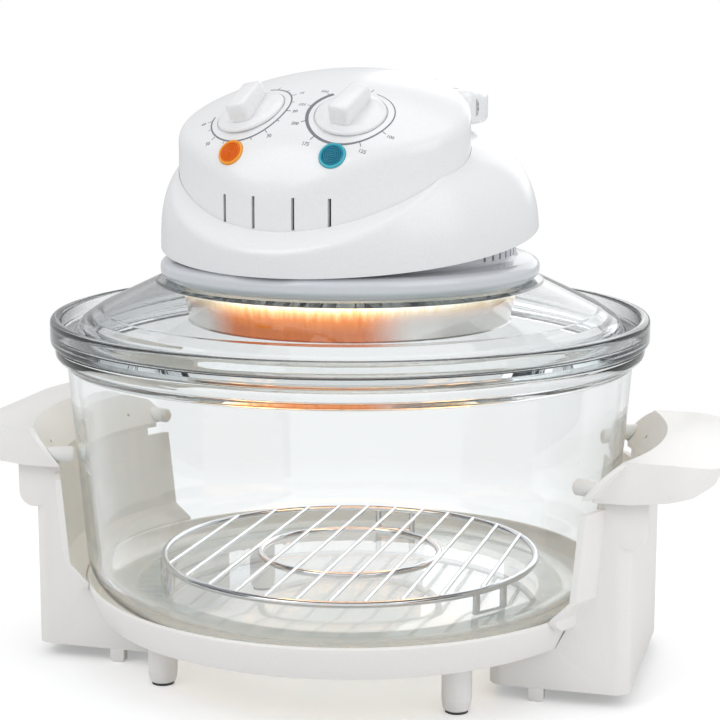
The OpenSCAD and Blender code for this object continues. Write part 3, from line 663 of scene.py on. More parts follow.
# Injection-moulded ABS, polished tool: soft white with a clear gloss.
HEAD_ABS = Finish("moulded_abs_white", "#F1F1F2", 0.22, ior=1.54, grain_mm=1.2, bump=0.015)
# Polypropylene, satin tool: a little warmer and duller than the head.
STAND_PP = Finish("moulded_polypropylene_white", "#F5F3F1", 0.34, ior=1.49, grain_mm=0.9, bump=0.03)
# ABS in pale grey, polished tool: mirrors the lid's edge below it.
BASE_ABS = Finish("moulded_abs_pale_grey", "#DADCE1", 0.14, ior=1.54, grain_mm=1.2, bump=0.015)
# Soda-lime glass, pressed and tempered: clear faces, painted shade where it is seen edge on.
CLEAR_GLASS = Glass("tempered_glass_clear", "#FCFDFD", 0.0, ior=1.5)
# The same glass in the lid, its painted edge shade starting nearer face on, so its thick cone and
# rim show more of it.
LID_GLASS = Glass("tempered_glass_lid", "#FCFDFD", 0.0, ior=1.5, painted_shade_start=0.45, density=14.0)
# Rubber, moulded in a blasted tool: dark and dull.
RUBBER = Finish("moulded_rubber_grey", "#4A4A4A", 0.75, ior=1.52, grain_mm=0.5, bump=0.15)
# Silicone, moulded: pale, with a soft waxy sheen.
SILICONE = Finish("moulded_silicone_pale", "#D9DADC", 0.45, ior=1.42, grain_mm=0.8, bump=0.05)
# Steel wire, bright chrome plate: sharp white and dark streaks.
CHROME = Finish("chromed_steel_wire", "#DCDDE0", 0.08, 1.0, grain_mm=1.5, bump=0.01)
# Steel sheet, polished: slightly blurred mirror.
STEEL = Finish("polished_steel_sheet", "#D8D6D2", 0.2, 1.0, grain_mm=0.5, bump=0.04)
# The same sheet around the lit lamp, with the lamp's light painted on: a painted glow at its top
# edge and in front.
PAINTED_GLOW_STEEL = PaintedGlowSteel("polished_steel_painted_glow", "#D8D6D2", 0.16, 1.0, grain_mm=2.5)
# Steel, zinc plated: grey and half dull.
ZINC = Finish("zinc_plated_steel", "#B9BBBE", 0.35, 1.0, grain_mm=0.5, bump=0.06)
# Aluminium sheet, pressed: soft grey reflections.
FAN_METAL = Finish("pressed_aluminium", "#C9CACC", 0.3, 1.0, grain_mm=0.4, bump=0.05)
# Iron laminations, painted: dark and half dull.
IRON = Finish("painted_lamination_steel", "#55565A", 0.5, ior=1.5, grain_mm=0.7, bump=0.1)
# Mineral board, pressed: matt and chalky.
BOARD = Finish("pressed_mineral_board", "#D8D0BF", 0.85, ior=1.5, grain_mm=0.8, bump=0.3)
# Nylon, moulded: nearly black, low sheen.
DARK_NYLON = Finish("moulded_nylon_dark", "#303033", 0.45, ior=1.53, grain_mm=0.6, bump=0.08)
# Copper tube, drawn: warm reflections.
COPPER = Finish("drawn_copper", "#B87752", 0.3, 1.0, grain_mm=0.5, bump=0.04)
# Quartz tube, lit: strong warm light.
QUARTZ = Glow("glowing_quartz_tube", "#FFC070", 0.2, grain_mm=3.0, strength=6.0)
# Neon lamp, lit: faint warm light behind its lens.
NEON = Glow("neon_lamp_glass", "#FFE0A8", 0.2, grain_mm=2.0, strength=0.6)
# Acrylic lenses, polished tool: deep colour and sharp gloss, paler at their thin rims.
ORANGE = Finish("moulded_lens_orange", "#E8700A", 0.12, ior=1.49, grain_mm=1.5, bump=0.02)
ORANGE_RIM = Finish("moulded_lens_rim_orange", "#F9A32B", 0.15, ior=1.49, grain_mm=1.5, bump=0.02)
TEAL = Finish("moulded_lens_teal", "#0F7F99", 0.12, ior=1.49, grain_mm=1.5, bump=0.02)
TEAL_RIM = Finish("moulded_lens_rim_teal", "#3FB4C6", 0.15, ior=1.49, grain_mm=1.5, bump=0.02)
# Pad-printed ink: flat mid grey.
INK = Finish("printed_ink_grey", "#7E8086", 0.6, ior=1.5, grain_mm=0.4, bump=0.02)

SLOT_FINISH = {
    "white_shell": HEAD_ABS,
    "stand_plastic": STAND_PP,
    "base_grey": BASE_ABS,
    "clear_glass": CLEAR_GLASS,
    "silicone": SILICONE,
    "pad_rubber": RUBBER,
    "steel": STEEL,
    "screw_steel": ZINC,
    "chrome_wire": CHROME,
    "fan_aluminium": FAN_METAL,
    "lamp_glass": QUARTZ,
    "motor_grey": IRON,
    "insulation": BOARD,
    "unit_dark": DARK_NYLON,
    "copper_bulb": COPPER,
    "orange_lens": ORANGE,
    "teal_lens": TEAL,
    "lamp_neon": NEON,
}


class Body(Enum):
    """Bodies of the frame that new pieces ride on."""

    STAND = "stand"
    BOWL = "bowl"
    LID = "lid"
    HANDLE = "handle"
    TIMER = "timer_dial"
    THERMOSTAT = "thermostat_dial"


def finish(
    piece: Piece, body: Body, slot: str, nodes: Iterable[str], coat: Finish
) -> None:
    """Dresses a piece and ties it to the frame.

    Args:
        piece: The finished object.
        body: The body it rides on.
        slot: The record's material slot; not used.
        nodes: The frame's pieces that it stands for.
        coat: Its finish.
    """
    piece.data.materials.clear()
    piece.data.materials.append(coat.build())
    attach(piece, body.value)
    if nodes:
        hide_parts(*nodes)
    LOG.info("%s rides on %s, %d faces", piece.name, body.value, len(piece.data.polygons))


# ---------------------------------------------------------------- stage


def seen_directly(tree: Tree) -> Socket:
    """Tells the camera's own rays and those that passed glass from all others.

    Args:
        tree: The node tree that takes the nodes.

    Returns:
        The socket that gives 1 for those rays and 0 for others.
    """
    path = add_node(tree, "LightPath")
    seen = add_node(
        tree,
        "Math",
        {"0": path.outputs["Is Camera Ray"], "1": path.outputs["Is Transmission Ray"]},
        operation="MAXIMUM",
    )
    return seen.outputs[0]


@dataclass
class Studio:
    """Floor, light and the camera that matches the photograph."""

    lens_mm: float = 95.0
    film_mm: float = 36.0
    place: Point3 = (0.2894, -1.0364, 0.3613)
    pitch: float = 80.01
    yaw: float = 15.6
    shift_x: float = 0.0136
    floor_lift: float = 0.3
    floor_fade: Point2 = (0.3, 0.55)
    room_light: float = 0.72
    aim_z: float = 0.18
    card_list: tuple[tuple[str, Point3, Point2, Point3], ...] = (
        ("card_left", (-1.3, -0.3, 0.5), (1.6, 2.0), (0, 90, 0)),
        ("card_right", (1.3, -0.3, 0.5), (1.6, 2.0), (0, 90, 0)),
        ("card_top", (0.0, 0.0, 1.5), (2.6, 2.0), (0, 0, 0)),
    )
    lamps: list[tuple[str, Point3, float, float]] = field(
        default_factory=lambda: [
            ("key", (-0.9, -1.2, 1.5), 1.1, 7.4),
            ("fill", (1.4, -0.7, 0.9), 1.2, 5.6),
            ("top", (0.1, 0.2, 1.9), 1.4, 5.0),
            ("back", (0.2, 1.6, 0.9), 1.2, 4.4),
        ]
    )

    def camera(self) -> None:
        """Places the camera."""
        data = bpy.data.cameras.new("camera")
        data.lens = self.lens_mm
        data.sensor_width = self.film_mm
        data.shift_x = self.shift_x
        item = bpy.data.objects.new("camera", data)
        item.location = self.place
        item.rotation_euler = (math.radians(self.pitch), 0, math.radians(self.yaw))
        bpy.context.collection.objects.link(item)
        bpy.context.scene.camera = item

    def floor(self) -> None:
        """Lays the pale floor with its plain material."""
        circle = bpy.ops.mesh.primitive_circle_add
        item = added("floor", circle, vertices=96, radius=6, fill_type="NGON")
        material = bpy.data.materials.new("floor_paper_white")
        tree = empty_tree(material)
        out = add_node(tree, "OutputMaterial")
        paper = add_node(tree, "BsdfDiffuse", {"Color": hex_linear("#EDEDED")})
        lift, white = (
            add_node(tree, "Emission", {"Color": (1, 1, 1, 1), "Strength": strength})
            for strength in (self.floor_lift, 1.0)
        )
        near = add_node(tree, "AddShader", {"0": paper, "1": lift})
        spot = {"0": add_node(tree, "TexCoord").outputs["Object"]}
        away = add_node(tree, "VectorMath", spot, operation="LENGTH").outputs["Value"]
        start, end = self.floor_fade
        ends = {"Value": away, "From Min": start, "From Max": end}
        fade = add_node(tree, "MapRange", ends)
        parts = {"0": fade, "1": near, "2": white}
        shown = add_node(tree, "MixShader", parts)
        parts = {"0": seen_directly(tree), "1": paper, "2": shown}
        mix = add_node(tree, "MixShader", parts)
        tree.links.new(mix.outputs[0], out.inputs["Surface"])
        item.data.materials.append(material)

    def world(self) -> None:
        """Lights the room evenly, with a white background for camera and glass."""
        world = bpy.data.worlds.new("room")
        bpy.context.scene.world = world
        tree = empty_tree(world)
        out = add_node(tree, "OutputWorld")
        light = {"Color": hex_linear("#F6F7F8"), "Strength": self.room_light}
        soft = add_node(tree, "Background", light)
        white = add_node(tree, "Background", {"Color": (1, 1, 1, 1), "Strength": 1.0})
        parts = {"0": seen_directly(tree), "1": soft, "2": white}
        mix = add_node(tree, "MixShader", parts)
        tree.links.new(mix.outputs[0], out.inputs["Surface"])

    def lights(self) -> None:
        """Hangs the soft lamps, each aimed at the oven."""
        aim = Vector((0, 0, self.aim_z))
        for name, place, size, power in self.lamps:
            data = bpy.data.lights.new(name, "AREA")
            data.size = size
            data.energy = power
            item = bpy.data.objects.new(name, data)
            item.location = place
            item.rotation_euler = (aim - Vector(place)).to_track_quat("-Z", "Y").to_euler()
            bpy.context.collection.objects.link(item)

    def cards(self) -> None:
        """Hangs the dark cards that draw the glass's edges; only rays out of glass see them."""
        material = bpy.data.materials.new("card_slate")
        tree = empty_tree(material)
        out = add_node(tree, "OutputMaterial")
        dark = add_node(tree, "Emission", {"Color": hex_linear("#2B333A"), "Strength": 1.0})
        tree.links.new(dark.outputs[0], out.inputs["Surface"])
        for name, place, size, turn in self.card_list:
            angles = [math.radians(a) for a in turn]
            plane = bpy.ops.mesh.primitive_plane_add
            item = added(name, plane, size=1, location=place, rotation=angles)
            item.scale = (*size, 1)
            item.data.materials.append(material)
            for rays in ("camera", "diffuse", "glossy", "shadow"):
                setattr(item, f"visible_{rays}", False)

    def build(self) -> None:
        """Builds the whole stage."""
        self.camera()
        self.floor()
        self.world()
        self.lights()
        self.cards()
        bpy.context.scene.view_settings.view_transform = "Standard"


# ---------------------------------------------------------------- stand, bowl, lid


@dataclass
class Stand:
    """Ring, legs and handles with moulded edges."""

    edge: float = 1.4

    def build(self) -> None:
        """Rounds and dresses the stand's pieces."""
        for node, width in (
            ("base_ring", 0.5),
            ("left_leg", self.edge),
            ("right_leg", self.edge),
            ("left_handle", self.edge),
            ("right_handle", self.edge),
            ("leg_feet", 0.5),
            ("bowl_bumpers", 0.4),
        ):
            piece = softened(f"{node}_moulding", node, width)
            finish(piece, Body.STAND, "stand_plastic", [node], STAND_PP)


@dataclass
class Bowl:
    """Pressed glass bowl with a rolled bead."""

    foot_z: float = 38.0
    wall_r: float = 161.0
    taper: float = 8.8
    height: float = 148.0
    wall: float = 5.5
    floor: float = 6.0
    corner_r: float = 28.0
    bead_w: float = 6.4
    bead_h: float = 11.0

    def outline(self) -> list[Point2]:
        """Gives the bowl's closed side view.

        Returns:
            Radius and height of each point, in mm.
        """
        foot = self.wall_r - self.taper - self.corner_r
        neck = self.height - self.bead_h
        tilt = math.degrees(math.atan(self.taper / (neck - self.corner_r)))

        def corner(radius: float, middle: float, start: float, end: float) -> list[Point3]:
            """Gives one side of the rounded corner.

            Args:
                radius: Radius of the arc.
                middle: Height of its middle.
                start: Angle where it starts, in degrees.
                end: Angle where it ends, in degrees.

            Returns:
                The arc's points, none of them rounded further.
            """
            turns = [math.radians(start + i * (end - start) / 20) for i in range(21)]
            return [
                (foot + radius * math.cos(a), middle + radius * math.sin(a), 0.0) for a in turns
            ]

        inner_r = self.corner_r - self.wall
        outer = corner(self.corner_r, self.corner_r, -90, -tilt)
        inner = corner(inner_r, self.floor + inner_r, -tilt, -90)
        edge = self.wall_r + self.bead_w
        rim = [
            (self.wall_r - 0.1, neck, 4.0),
            (edge, neck + 4.5, 4.0),
            (edge, self.height, 3.0),
            (self.wall_r - self.wall + 0.8, self.height, 2.0),
            (self.wall_r - self.wall, neck, 6.0),
        ]
        points = [(0.0, 0.0, 0.0)] + outer + rim + inner + [(0.0, self.floor, 0.0)]
        return [(r, z + self.foot_z) for r, z in rounded_profile(points)]

    def build(self) -> None:
        """Turns and dresses the bowl."""
        piece = turned("pressed_glass_bowl", self.outline(), 144)
        finish(piece, Body.BOWL, "clear_glass", ["glass_bowl"], CLEAR_GLASS)


@dataclass
class Lid:
    """Pressed glass lid with an upstanding rim and a sloping cone."""

    seat_z: float = 186.0
    rim_r: float = 170.0
    rim_h: float = 14.5
    rim_t: float = 6.0
    top_h: float = 34.5
    glass_t: float = 5.0
    hole_r: float = 88.0
    land_r: float = 110.0

    def outline(self) -> list[Point2]:
        """Gives the lid's closed side view.

        Returns:
            Radius and height of each point, in mm.
        """
        trough = self.rim_r - self.rim_t
        spigot = 155.6
        points = [
            (self.hole_r, self.top_h - self.glass_t, 0.8),
            (self.hole_r, self.top_h, 0.8),
            (self.land_r - 0.6, self.top_h, 2.0),
            (143.0, 18.6, 8.0),
            (152.5, 12.6, 6.0),
            (157.0, 4.6, 4.0),
            (trough, 4.4, 2.5),
            (trough, self.rim_h, 2.8),
            (self.rim_r, self.rim_h, 3.0),
            (self.rim_r, 0.0, 2.6),
            (spigot, 0.0, 0.6),
            (spigot, -3.0, 1.0),
            (spigot - 5, -3.0, 1.5),
            (spigot - 6.5, 1.0, 2.0),
            (spigot - 7.6, 7.0, 3.0),
            (spigot - 11.4, 11.0, 5.0),
            (spigot - 17, 14.6, 8.0),
            (108.4, self.top_h - self.glass_t, 2.0),
        ]
        return [(r, z + self.seat_z) for r, z in rounded_profile(points)]

    def build(self) -> None:
        """Turns and dresses the lid."""
        piece = turned("pressed_glass_lid", self.outline(), 144)
        finish(piece, Body.LID, "clear_glass", ["glass_lid"], LID_GLASS)


# ---------------------------------------------------------------- motor head


@dataclass(frozen=True)
class HeadForm:
    """Measures and curves that the head's mouldings share, on the head's own axes, in mm."""

    lift: float = 221.5
    turn: float = -10.0
    radius: float = 107.0
    widest_z: float = 14.5
    rise: float = 74.0
    wall: float = 2.6
    deck_z: float = 32.5
    deck_y: float = 96.0
    deck_slope: float = 36.0
    panel_y: float = 35.0
    panel_a: float = 84.0
    panel_b: float = 59.4
    panel_end: float = 44.0
    axis_z: float = -83.5
    join_y: float = -62.0
    dial_x: float = 30.0
    dial_y: float = -62.0
    lens_y: float = -84.3
    bow_in: float = 50.0
    bow_out: float = 70.0
    pivot: Point2 = (15.0, 95.0)

    def deck(self, y: float) -> float:
        """Height of the sloped deck."""
        return self.deck_z + math.tan(math.radians(self.deck_slope)) * (y + self.deck_y)

    def dome(self, radius: float) -> float:
        """Height of the turned crown at a distance from the axis."""
        cosine = min(radius / self.radius, 1.0) ** 1.5
        return self.widest_z + self.rise * (1 - cosine * cosine) ** (1 / 3)

    def arc(self, y: float) -> tuple[float, float, float]:
        """Gives the side view's arc at a place: its radius, middle and height."""
        return (150.0, 12.0, 50.0) if y > self.join_y else (65.0, -30.0, 124.0)

    def reach(self, y: float) -> float:
        """Distance from the crown's turning axis to its face."""
        radius, middle, height = self.arc(y)
        return height + math.sqrt(max(radius**2 - (y - middle) ** 2, 0.0))

    def face(self, x: float, y: float, drop: float = 0.0) -> float:
        """Height of the panel's face, lowered square to itself by drop."""
        return self.axis_z + math.sqrt(max((self.reach(y) - drop) ** 2 - x * x, 0.0))

    def on_face(self, x: float, y: float) -> Matrix:
        """Gives a place on the panel's face with Z square to it, in metres.

        Args:
            x: Place across the head.
            y: Place along the head.

        Returns:
            The place's matrix.
        """
        radius, middle, _ = self.arc(y)
        tilt, lean = math.asin((middle - y) / radius), math.asin(x / self.reach(y))
        spot = Matrix.Translation(Vector((x, y, self.face(x, y))) * MM)
        return spot @ Matrix.Rotation(lean, 4, "Y") @ Matrix.Rotation(tilt, 4, "X")

    def outline(self, start: Point2, angle: float, grow: float = 0.0) -> float:
        """Measures from a point inside the panel's outline to its edge.

        Args:
            start: The point.
            angle: Direction in radians.
            grow: Widens the outline by this much.

        Returns:
            The distance.
        """
        half, depth, end = self.panel_a + grow, self.panel_b + grow, self.panel_end + grow
        big = ((half - end) ** 2 + depth**2 - end**2) / (2 * (depth - end))
        touch = (half - end) * big / (big - end)
        low, high = 0.0, 200.0
        for _ in range(40):
            middle = (low + high) / 2
            x = abs(start[0] + middle * math.cos(angle))
            y = abs(start[1] + middle * math.sin(angle) + self.panel_y)
            if x <= touch:
                within = y <= depth - big + math.sqrt(big**2 - x * x)
            else:
                within = (x - half + end) ** 2 + y * y <= end**2
            low, high = (middle, high) if within else (low, middle)
        return low


FORM = HeadForm()


def spun(axis: str, degrees: float) -> Matrix:
    """Gives the turn about an axis by an angle in degrees."""
    return Matrix.Rotation(math.radians(degrees), 4, axis)


def shifted(x: float, y: float, z: float) -> Matrix:
    """Gives the shift by three lengths in mm."""
    return Matrix.Translation((x * MM, y * MM, z * MM))


def settle(piece: Piece) -> Piece:
    """Puts a piece's place, turn and scale in its mesh.

    Args:
        piece: The object.

    Returns:
        The same object.
    """
    only(piece)
    bpy.ops.object.transform_apply(location=True, rotation=True, scale=True)
    return piece


def moved(piece: Piece, where: Matrix) -> Piece:
    """Moves a piece's mesh by a matrix in metres and leaves its origin in place."""
    piece.matrix_world = where @ piece.matrix_world
    return settle(piece)


def place_on_head(piece: Piece) -> Piece:
    """Turns and lifts a piece from the head's own axes to the row frame."""
    return moved(piece, shifted(0, 0, FORM.lift) @ spun("Z", FORM.turn))


def joined(name: str, *pieces: Piece) -> Piece:
    """Makes one object of several.

    Args:
        name: Name of the object.
        *pieces: The pieces, the first of which takes the others in.

    Returns:
        The first piece, with all the others in it.
    """
    only(*pieces)
    if len(pieces) > 1:
        bpy.ops.object.join()
    piece = bpy.context.view_layer.objects.active
    piece.name = piece.data.name = name
    return piece


def block(name: str, low: Point3, high: Point3, soft: float = 0.0) -> Piece:
    """Makes a box between two corners.

    Args:
        name: Name of the piece.
        low: Its lowest corner in mm.
        high: Its highest corner in mm.
        soft: Width of its edges' rounding in mm.

    Returns:
        The box.
    """
    middle = [(a + b) / 2 * MM for a, b in zip(low, high)]
    piece = added(name, bpy.ops.mesh.primitive_cube_add, size=1, location=middle)
    piece.scale = [(b - a) * MM for a, b in zip(low, high)]
    settle(piece)
    if soft:
        bevel(piece, soft, 4)
    return piece


def rod(name: str, radius: float, low: float, high: float, sides: int = 48) -> Piece:
    """Makes an upright cylinder on the Z axis.

    Args:
        name: Name of the piece.
        radius: Its radius in mm.
        low: Height of its lower end in mm.
        high: Height of its upper end in mm.
        sides: Faces around it.

    Returns:
        The cylinder.
    """
    piece = added(
        name,
        bpy.ops.mesh.primitive_cylinder_add,
        vertices=sides,
        radius=radius * MM,
        depth=(high - low) * MM,
        location=(0, 0, (low + high) / 2 * MM),
    )
    return settle(piece)


def eased(points: Sequence[Point2], window: float, count: int) -> list[Point2]:
    """Spreads points evenly along a line and rounds its corners by a moving mean.

    Args:
        points: The line's corners and curve points, in millimetres.
        window: Length of line that each mean covers.
        count: Number of cells along the line.

    Returns:
        One more point than cells.
    """
    spots = [Vector(points[0])]
    for point in points[1:]:
        if (Vector(point) - spots[-1]).length > 1e-6:
            spots.append(Vector(point))
    stops, sums = [0.0], [Vector((0.0, 0.0))]
    for a, b in zip(spots, spots[1:]):
        step = (b - a).length
        stops.append(stops[-1] + step)
        sums.append(sums[-1] + (a + b) * step / 2)

    def spot(s: float) -> tuple[Vector, Vector]:
        """Gives the point and the running sum at a length along the line.

        Args:
            s: The length.

        Returns:
            The point and the sum.
        """
        i = min(bisect_right(stops, s) - 1, len(spots) - 2)
        part, grow = s - stops[i], (spots[i + 1] - spots[i]) / (stops[i + 1] - stops[i])
        return spots[i] + grow * part, sums[i] + spots[i] * part + grow * part * part / 2

    out = []
    for k in range(count + 1):
        s = stops[-1] * k / count
        half = min(window / 2, s, stops[-1] - s)
        mean = (spot(s + half)[1] - spot(s - half)[1]) / (2 * half) if half > 1e-3 else spot(s)[0]
        out.append((mean.x, mean.y))
    return out


def face_out(piece: Piece, centre: Point3) -> None:
    """Turns all faces of an open skin away from a point.

    Args:
        piece: The skin.
        centre: The point in mm.
    """
    middle = Vector(centre) * MM
    lean = sum((f.center - middle).dot(f.normal) * f.area for f in piece.data.polygons)
    if lean < 0:
        edit_all(piece, (bpy.ops.mesh.flip_normals, {}))


@dataclass
class Housing:
    """Domed housing whose front is cut by the sloped deck around the panel."""

    around: int = 240
    up: int = 84
    skirt_z: float = 24.5
    skirt_rise: float = 0.1299
    scoop_y: float = 76.0
    scoop_z: float = 118.0
    scoop_r: float = 46.0
    scoop_edge: float = 3.0
    gland_z: float = 54.5
    plunger: Point2 = (58.5, 31.0)

    def profile(self, angle: float) -> list[Point2]:
        """Gives distance and height from the lower edge to the panel.

        Args:
            angle: Direction in radians.

        Returns:
            Points at even distances, its corners rounded.
        """
        side, fore = math.cos(angle), math.sin(angle)
        low = self.skirt_z + self.skirt_rise * FORM.radius * fore
        start = math.asin(max((low - FORM.widest_z) / FORM.rise, 0.0) ** 1.5)
        end = math.acos((FORM.outline((0.0, 0.0), angle, 0.3) / FORM.radius) ** 1.5)
        points: list[Point2] = [(FORM.radius, low)] if low < FORM.widest_z else []
        for k in range(161):
            t = start + (end - start) * (k / 160) ** 1.5
            radius = FORM.radius * math.cos(t) ** (2 / 3)
            height = FORM.widest_z + FORM.rise * math.sin(t) ** (2 / 3)
            x, y = radius * side, radius * fore
            away = self.scoop_r**2 - x * x - (y - self.scoop_y) ** 2
            if away > 0:
                scoop = self.scoop_z - math.sqrt(away)
                near = max(self.scoop_edge - abs(scoop - height), 0.0) / self.scoop_edge
                height = min(scoop, height) - near * near * self.scoop_edge / 4
            points.append((radius, min(height, FORM.deck(y))))
        return eased(points, 7.0, self.up)

    def build(self) -> None:
        """Lays the skin, gives it its wall and cuts its openings."""
        piece = laid_round("housing_moulding", self.around, self.up, self.profile)
        face_out(piece, (0, 0, 10))
        apply_modifier(piece, "SOLIDIFY", thickness=FORM.wall * MM, offset=-1.0)
        back = shifted(0, 0, self.gland_z) @ spun("X", -90)
        carve(piece, moved(rod("sleeve", 8.0, 93, 104.5), back), "UNION")
        carve(piece, moved(rod("gland_hole", 6.1, 80, 120), back))
        carve(piece, moved(rod("plunger_hole", 2.5, 60, 120), shifted(*self.plunger, 0)))
        shade(piece, 35)
        place_on_head(piece)
        finish(piece, Body.LID, "white_shell", ["head_housing"], HEAD_ABS)


@dataclass
class Panel:
    """Raised oval control panel with dial wells, lens holes, slots and arm notches."""

    around: int = 208
    along: int = 120
    edge: float = 11.0
    depth: float = 10.0
    hollow_depth: float = 16.0
    well_depth: float = 2.1
    lens_hole_r: float = 7.5
    slots_x: tuple[float, ...] = (-31.0, -11.7, 11.7, 31.0)
    slot_half: float = 0.9
    slot_z: Point2 = (34.5, 51.5)
    boss_r: float = 7.5
    pin_r: float = 4.0

    def solid(self, name: str, inset: float, window: float, below: float) -> Piece:
        """Makes the panel as a filled form.

        Args:
            name: Name of the piece.
            inset: Distance of its faces inside the real ones.
            window: Length of line that the edge's rounding takes.
            below: Depth of its walls under the deck.

        Returns:
            The closed form.
        """

        def row(angle: float) -> list[Point2]:
            """Gives the form's side view, from the middle of the floor to that of the face.

            Args:
                angle: Direction in radians.

            Returns:
                Distance and height of each point.
            """
            far = FORM.outline((0.0, -FORM.panel_y), angle, -inset)

            def at(d: float) -> Point2:
                """Gives the place at a distance from the panel's middle."""
                return d * math.cos(angle), d * math.sin(angle) - FORM.panel_y

            cover = FORM.dome(math.hypot(*at(far)))
            spots = [far * k / 20 for k in range(21)]
            floor = [(d, min(FORM.deck(at(d)[1]), cover) - below) for d in spots]
            top = [(far * k / 60, FORM.face(*at(far * k / 60), inset)) for k in range(60, -1, -1)]
            return eased(floor + top, window, self.along)

        piece = laid_round(name, self.around, self.along, row, -FORM.panel_y)
        merge(piece, 1e-5)
        return piece

    def notches(self, grow: float) -> Piece:
        """Makes the room for the carrying handle's arms.

        Args:
            grow: Widens the room by this much.

        Returns:
            Both rooms as one piece.
        """
        low = FORM.pivot[0] - 10.7 - grow
        rooms = []
        for side in (-1, 1):
            edges = sorted((side * (FORM.bow_in - 1.5 - grow), side * (FORM.bow_out + 0.3 + grow)))
            rooms.append(block("room", (edges[0], low, -30), (edges[1], low + 100, 170)))
        return joined("rooms", *rooms)

    def build(self) -> None:
        """Makes the shell, cuts it and adds the pivots."""
        piece = self.solid("panel_moulding", 0.0, self.edge, self.depth)
        hollow = self.solid("hollow", FORM.wall, 1.0, self.hollow_depth)
        carve(hollow, self.notches(FORM.wall))
        carve(piece, self.notches(0.0))
        carve(piece, hollow)
        deep = -self.well_depth
        sunk = [(0, deep, 0), (19.8, deep, 0.8), (19.9, -0.9, 0.0), (20.3, 0.0, 0.9)]
        well = rounded_profile(sunk + [(24.0, 3.0, 0), (0, 3.0, 0)])
        for side in (-1, 1):
            dial = FORM.on_face(side * FORM.dial_x, FORM.dial_y)
            lens = FORM.on_face(side * FORM.dial_x, FORM.lens_y)
            carve(piece, moved(turned("well", well, 96), dial))
            carve(piece, moved(rod("hole", self.lens_hole_r, -12, 8, 64), lens))
        half, (low, high) = self.slot_half, self.slot_z
        slots = [
            block("slot", (x - half, -FORM.deck_y - 2, low), (x + half, x * x / 120 - 86, high))
            for x in self.slots_x
        ]
        carve(piece, joined("slots", *slots))
        for side in (-1, 1):
            where = shifted(0, *FORM.pivot) @ spun("Y", 90 * side)
            carve(piece, moved(rod("boss", self.boss_r, 24, FORM.bow_in - 0.3), where), "UNION")
            carve(piece, moved(rod("pin_hole", self.pin_r, 35.5, 60), where))
        shade(piece, 32)
        place_on_head(piece)
        finish(piece, Body.LID, "white_shell", ["control_panel"], HEAD_ABS)


@dataclass
class BaseRing:
    """Pale grey ring with the vented waist under the housing."""

    vents: int = 42
    first: float = -14.0
    step: float = 5.0
    front_z: float = 15.2

    def build(self) -> None:
        """Turns the ring, cuts its front and its vents."""
        outline = rounded_profile(
            [
                (14, 0, 0), (84.1, 0, 0), (84.1, -6.7, 0), (86.2, -6.7, 0.6), (86.2, 0, 0),
                (104.4, 0.0, 2.0), (107.5, 3.0, 3.0), (107.5, 8.6, 4.0), (103.5, 11.2, 4.0),
                (95.0, 12.0, 2.0), (94, 14.0, 1.0), (94, 44, 0.6), (91.4, 44, 0.6),
                (91.4, 11.2, 1.0), (101, 8.6, 2.0), (104.4, 5.0, 2.0), (102.6, 3.0, 0.5),
                (14, 3, 0),
            ]
        )
        piece = turned("head_base_moulding", outline, 192)
        front = block("front", (-150, -100, 0), (150, 230, 150))
        slope = shifted(0, -FORM.deck_y, self.front_z) @ spun("X", FORM.deck_slope)
        carve(piece, moved(front, slope))
        slots = []
        for i in range(self.vents):
            slot = block("vent", (88, -1.1, 14), (97, 1.1, 31.1), 1.0)
            slots.append(moved(slot, spun("Z", self.first + i * self.step)))
        carve(piece, joined("vents", *slots))
        shade(piece, 35)
        place_on_head(piece)
        finish(piece, Body.LID, "base_grey", ["head_base"], BASE_ABS)


@dataclass
class Knobs:
    """Dial knobs: a round skirt with a block grip."""

    skirt_r: float = 19.0
    base: float = 0.4 - 2.1
    bar: Point2 = (12.0, 28.6)
    bar_top: float = 14.4
    slope: float = 2.5

    def build(self) -> None:
        """Makes both knobs on their own axes."""
        base, edge = self.base, self.skirt_r
        foot = [(0, base, 0), (edge, base, 0.3), (edge, base + 1.5, 1.2)]
        skirt = rounded_profile(foot + [(edge - 4.0, base + 3.0, 4.0), (0, base + 4.0, 0)])
        for side, body in ((-1, Body.TIMER), (1, Body.THERMOSTAT)):
            disc = turned("skirt", skirt, 96)
            wide, long = self.bar[0] / 2, self.bar[1] / 2
            grip = block("grip", (-wide, -long, base + 2), (wide, long, base + self.bar_top))
            for vertex in grip.data.vertices:
                if vertex.co.y > 0 and vertex.co.z > base * MM + 0.009:
                    vertex.co.z -= self.slope * MM
            bevel(grip, 2.4, 4)
            carve(disc, grip, "UNION")
            carve(disc, rod("bore", 3.02, base - 1, base + 9, 48))
            name = f"{body.value}_knob"
            disc.name = disc.data.name = name
            shade(disc, 35)
            place_on_head(moved(disc, FORM.on_face(side * FORM.dial_x, FORM.dial_y)))
            node = "timer_knob" if side < 0 else "thermostat_knob"
            finish(disc, body, "white_shell", [node], HEAD_ABS)


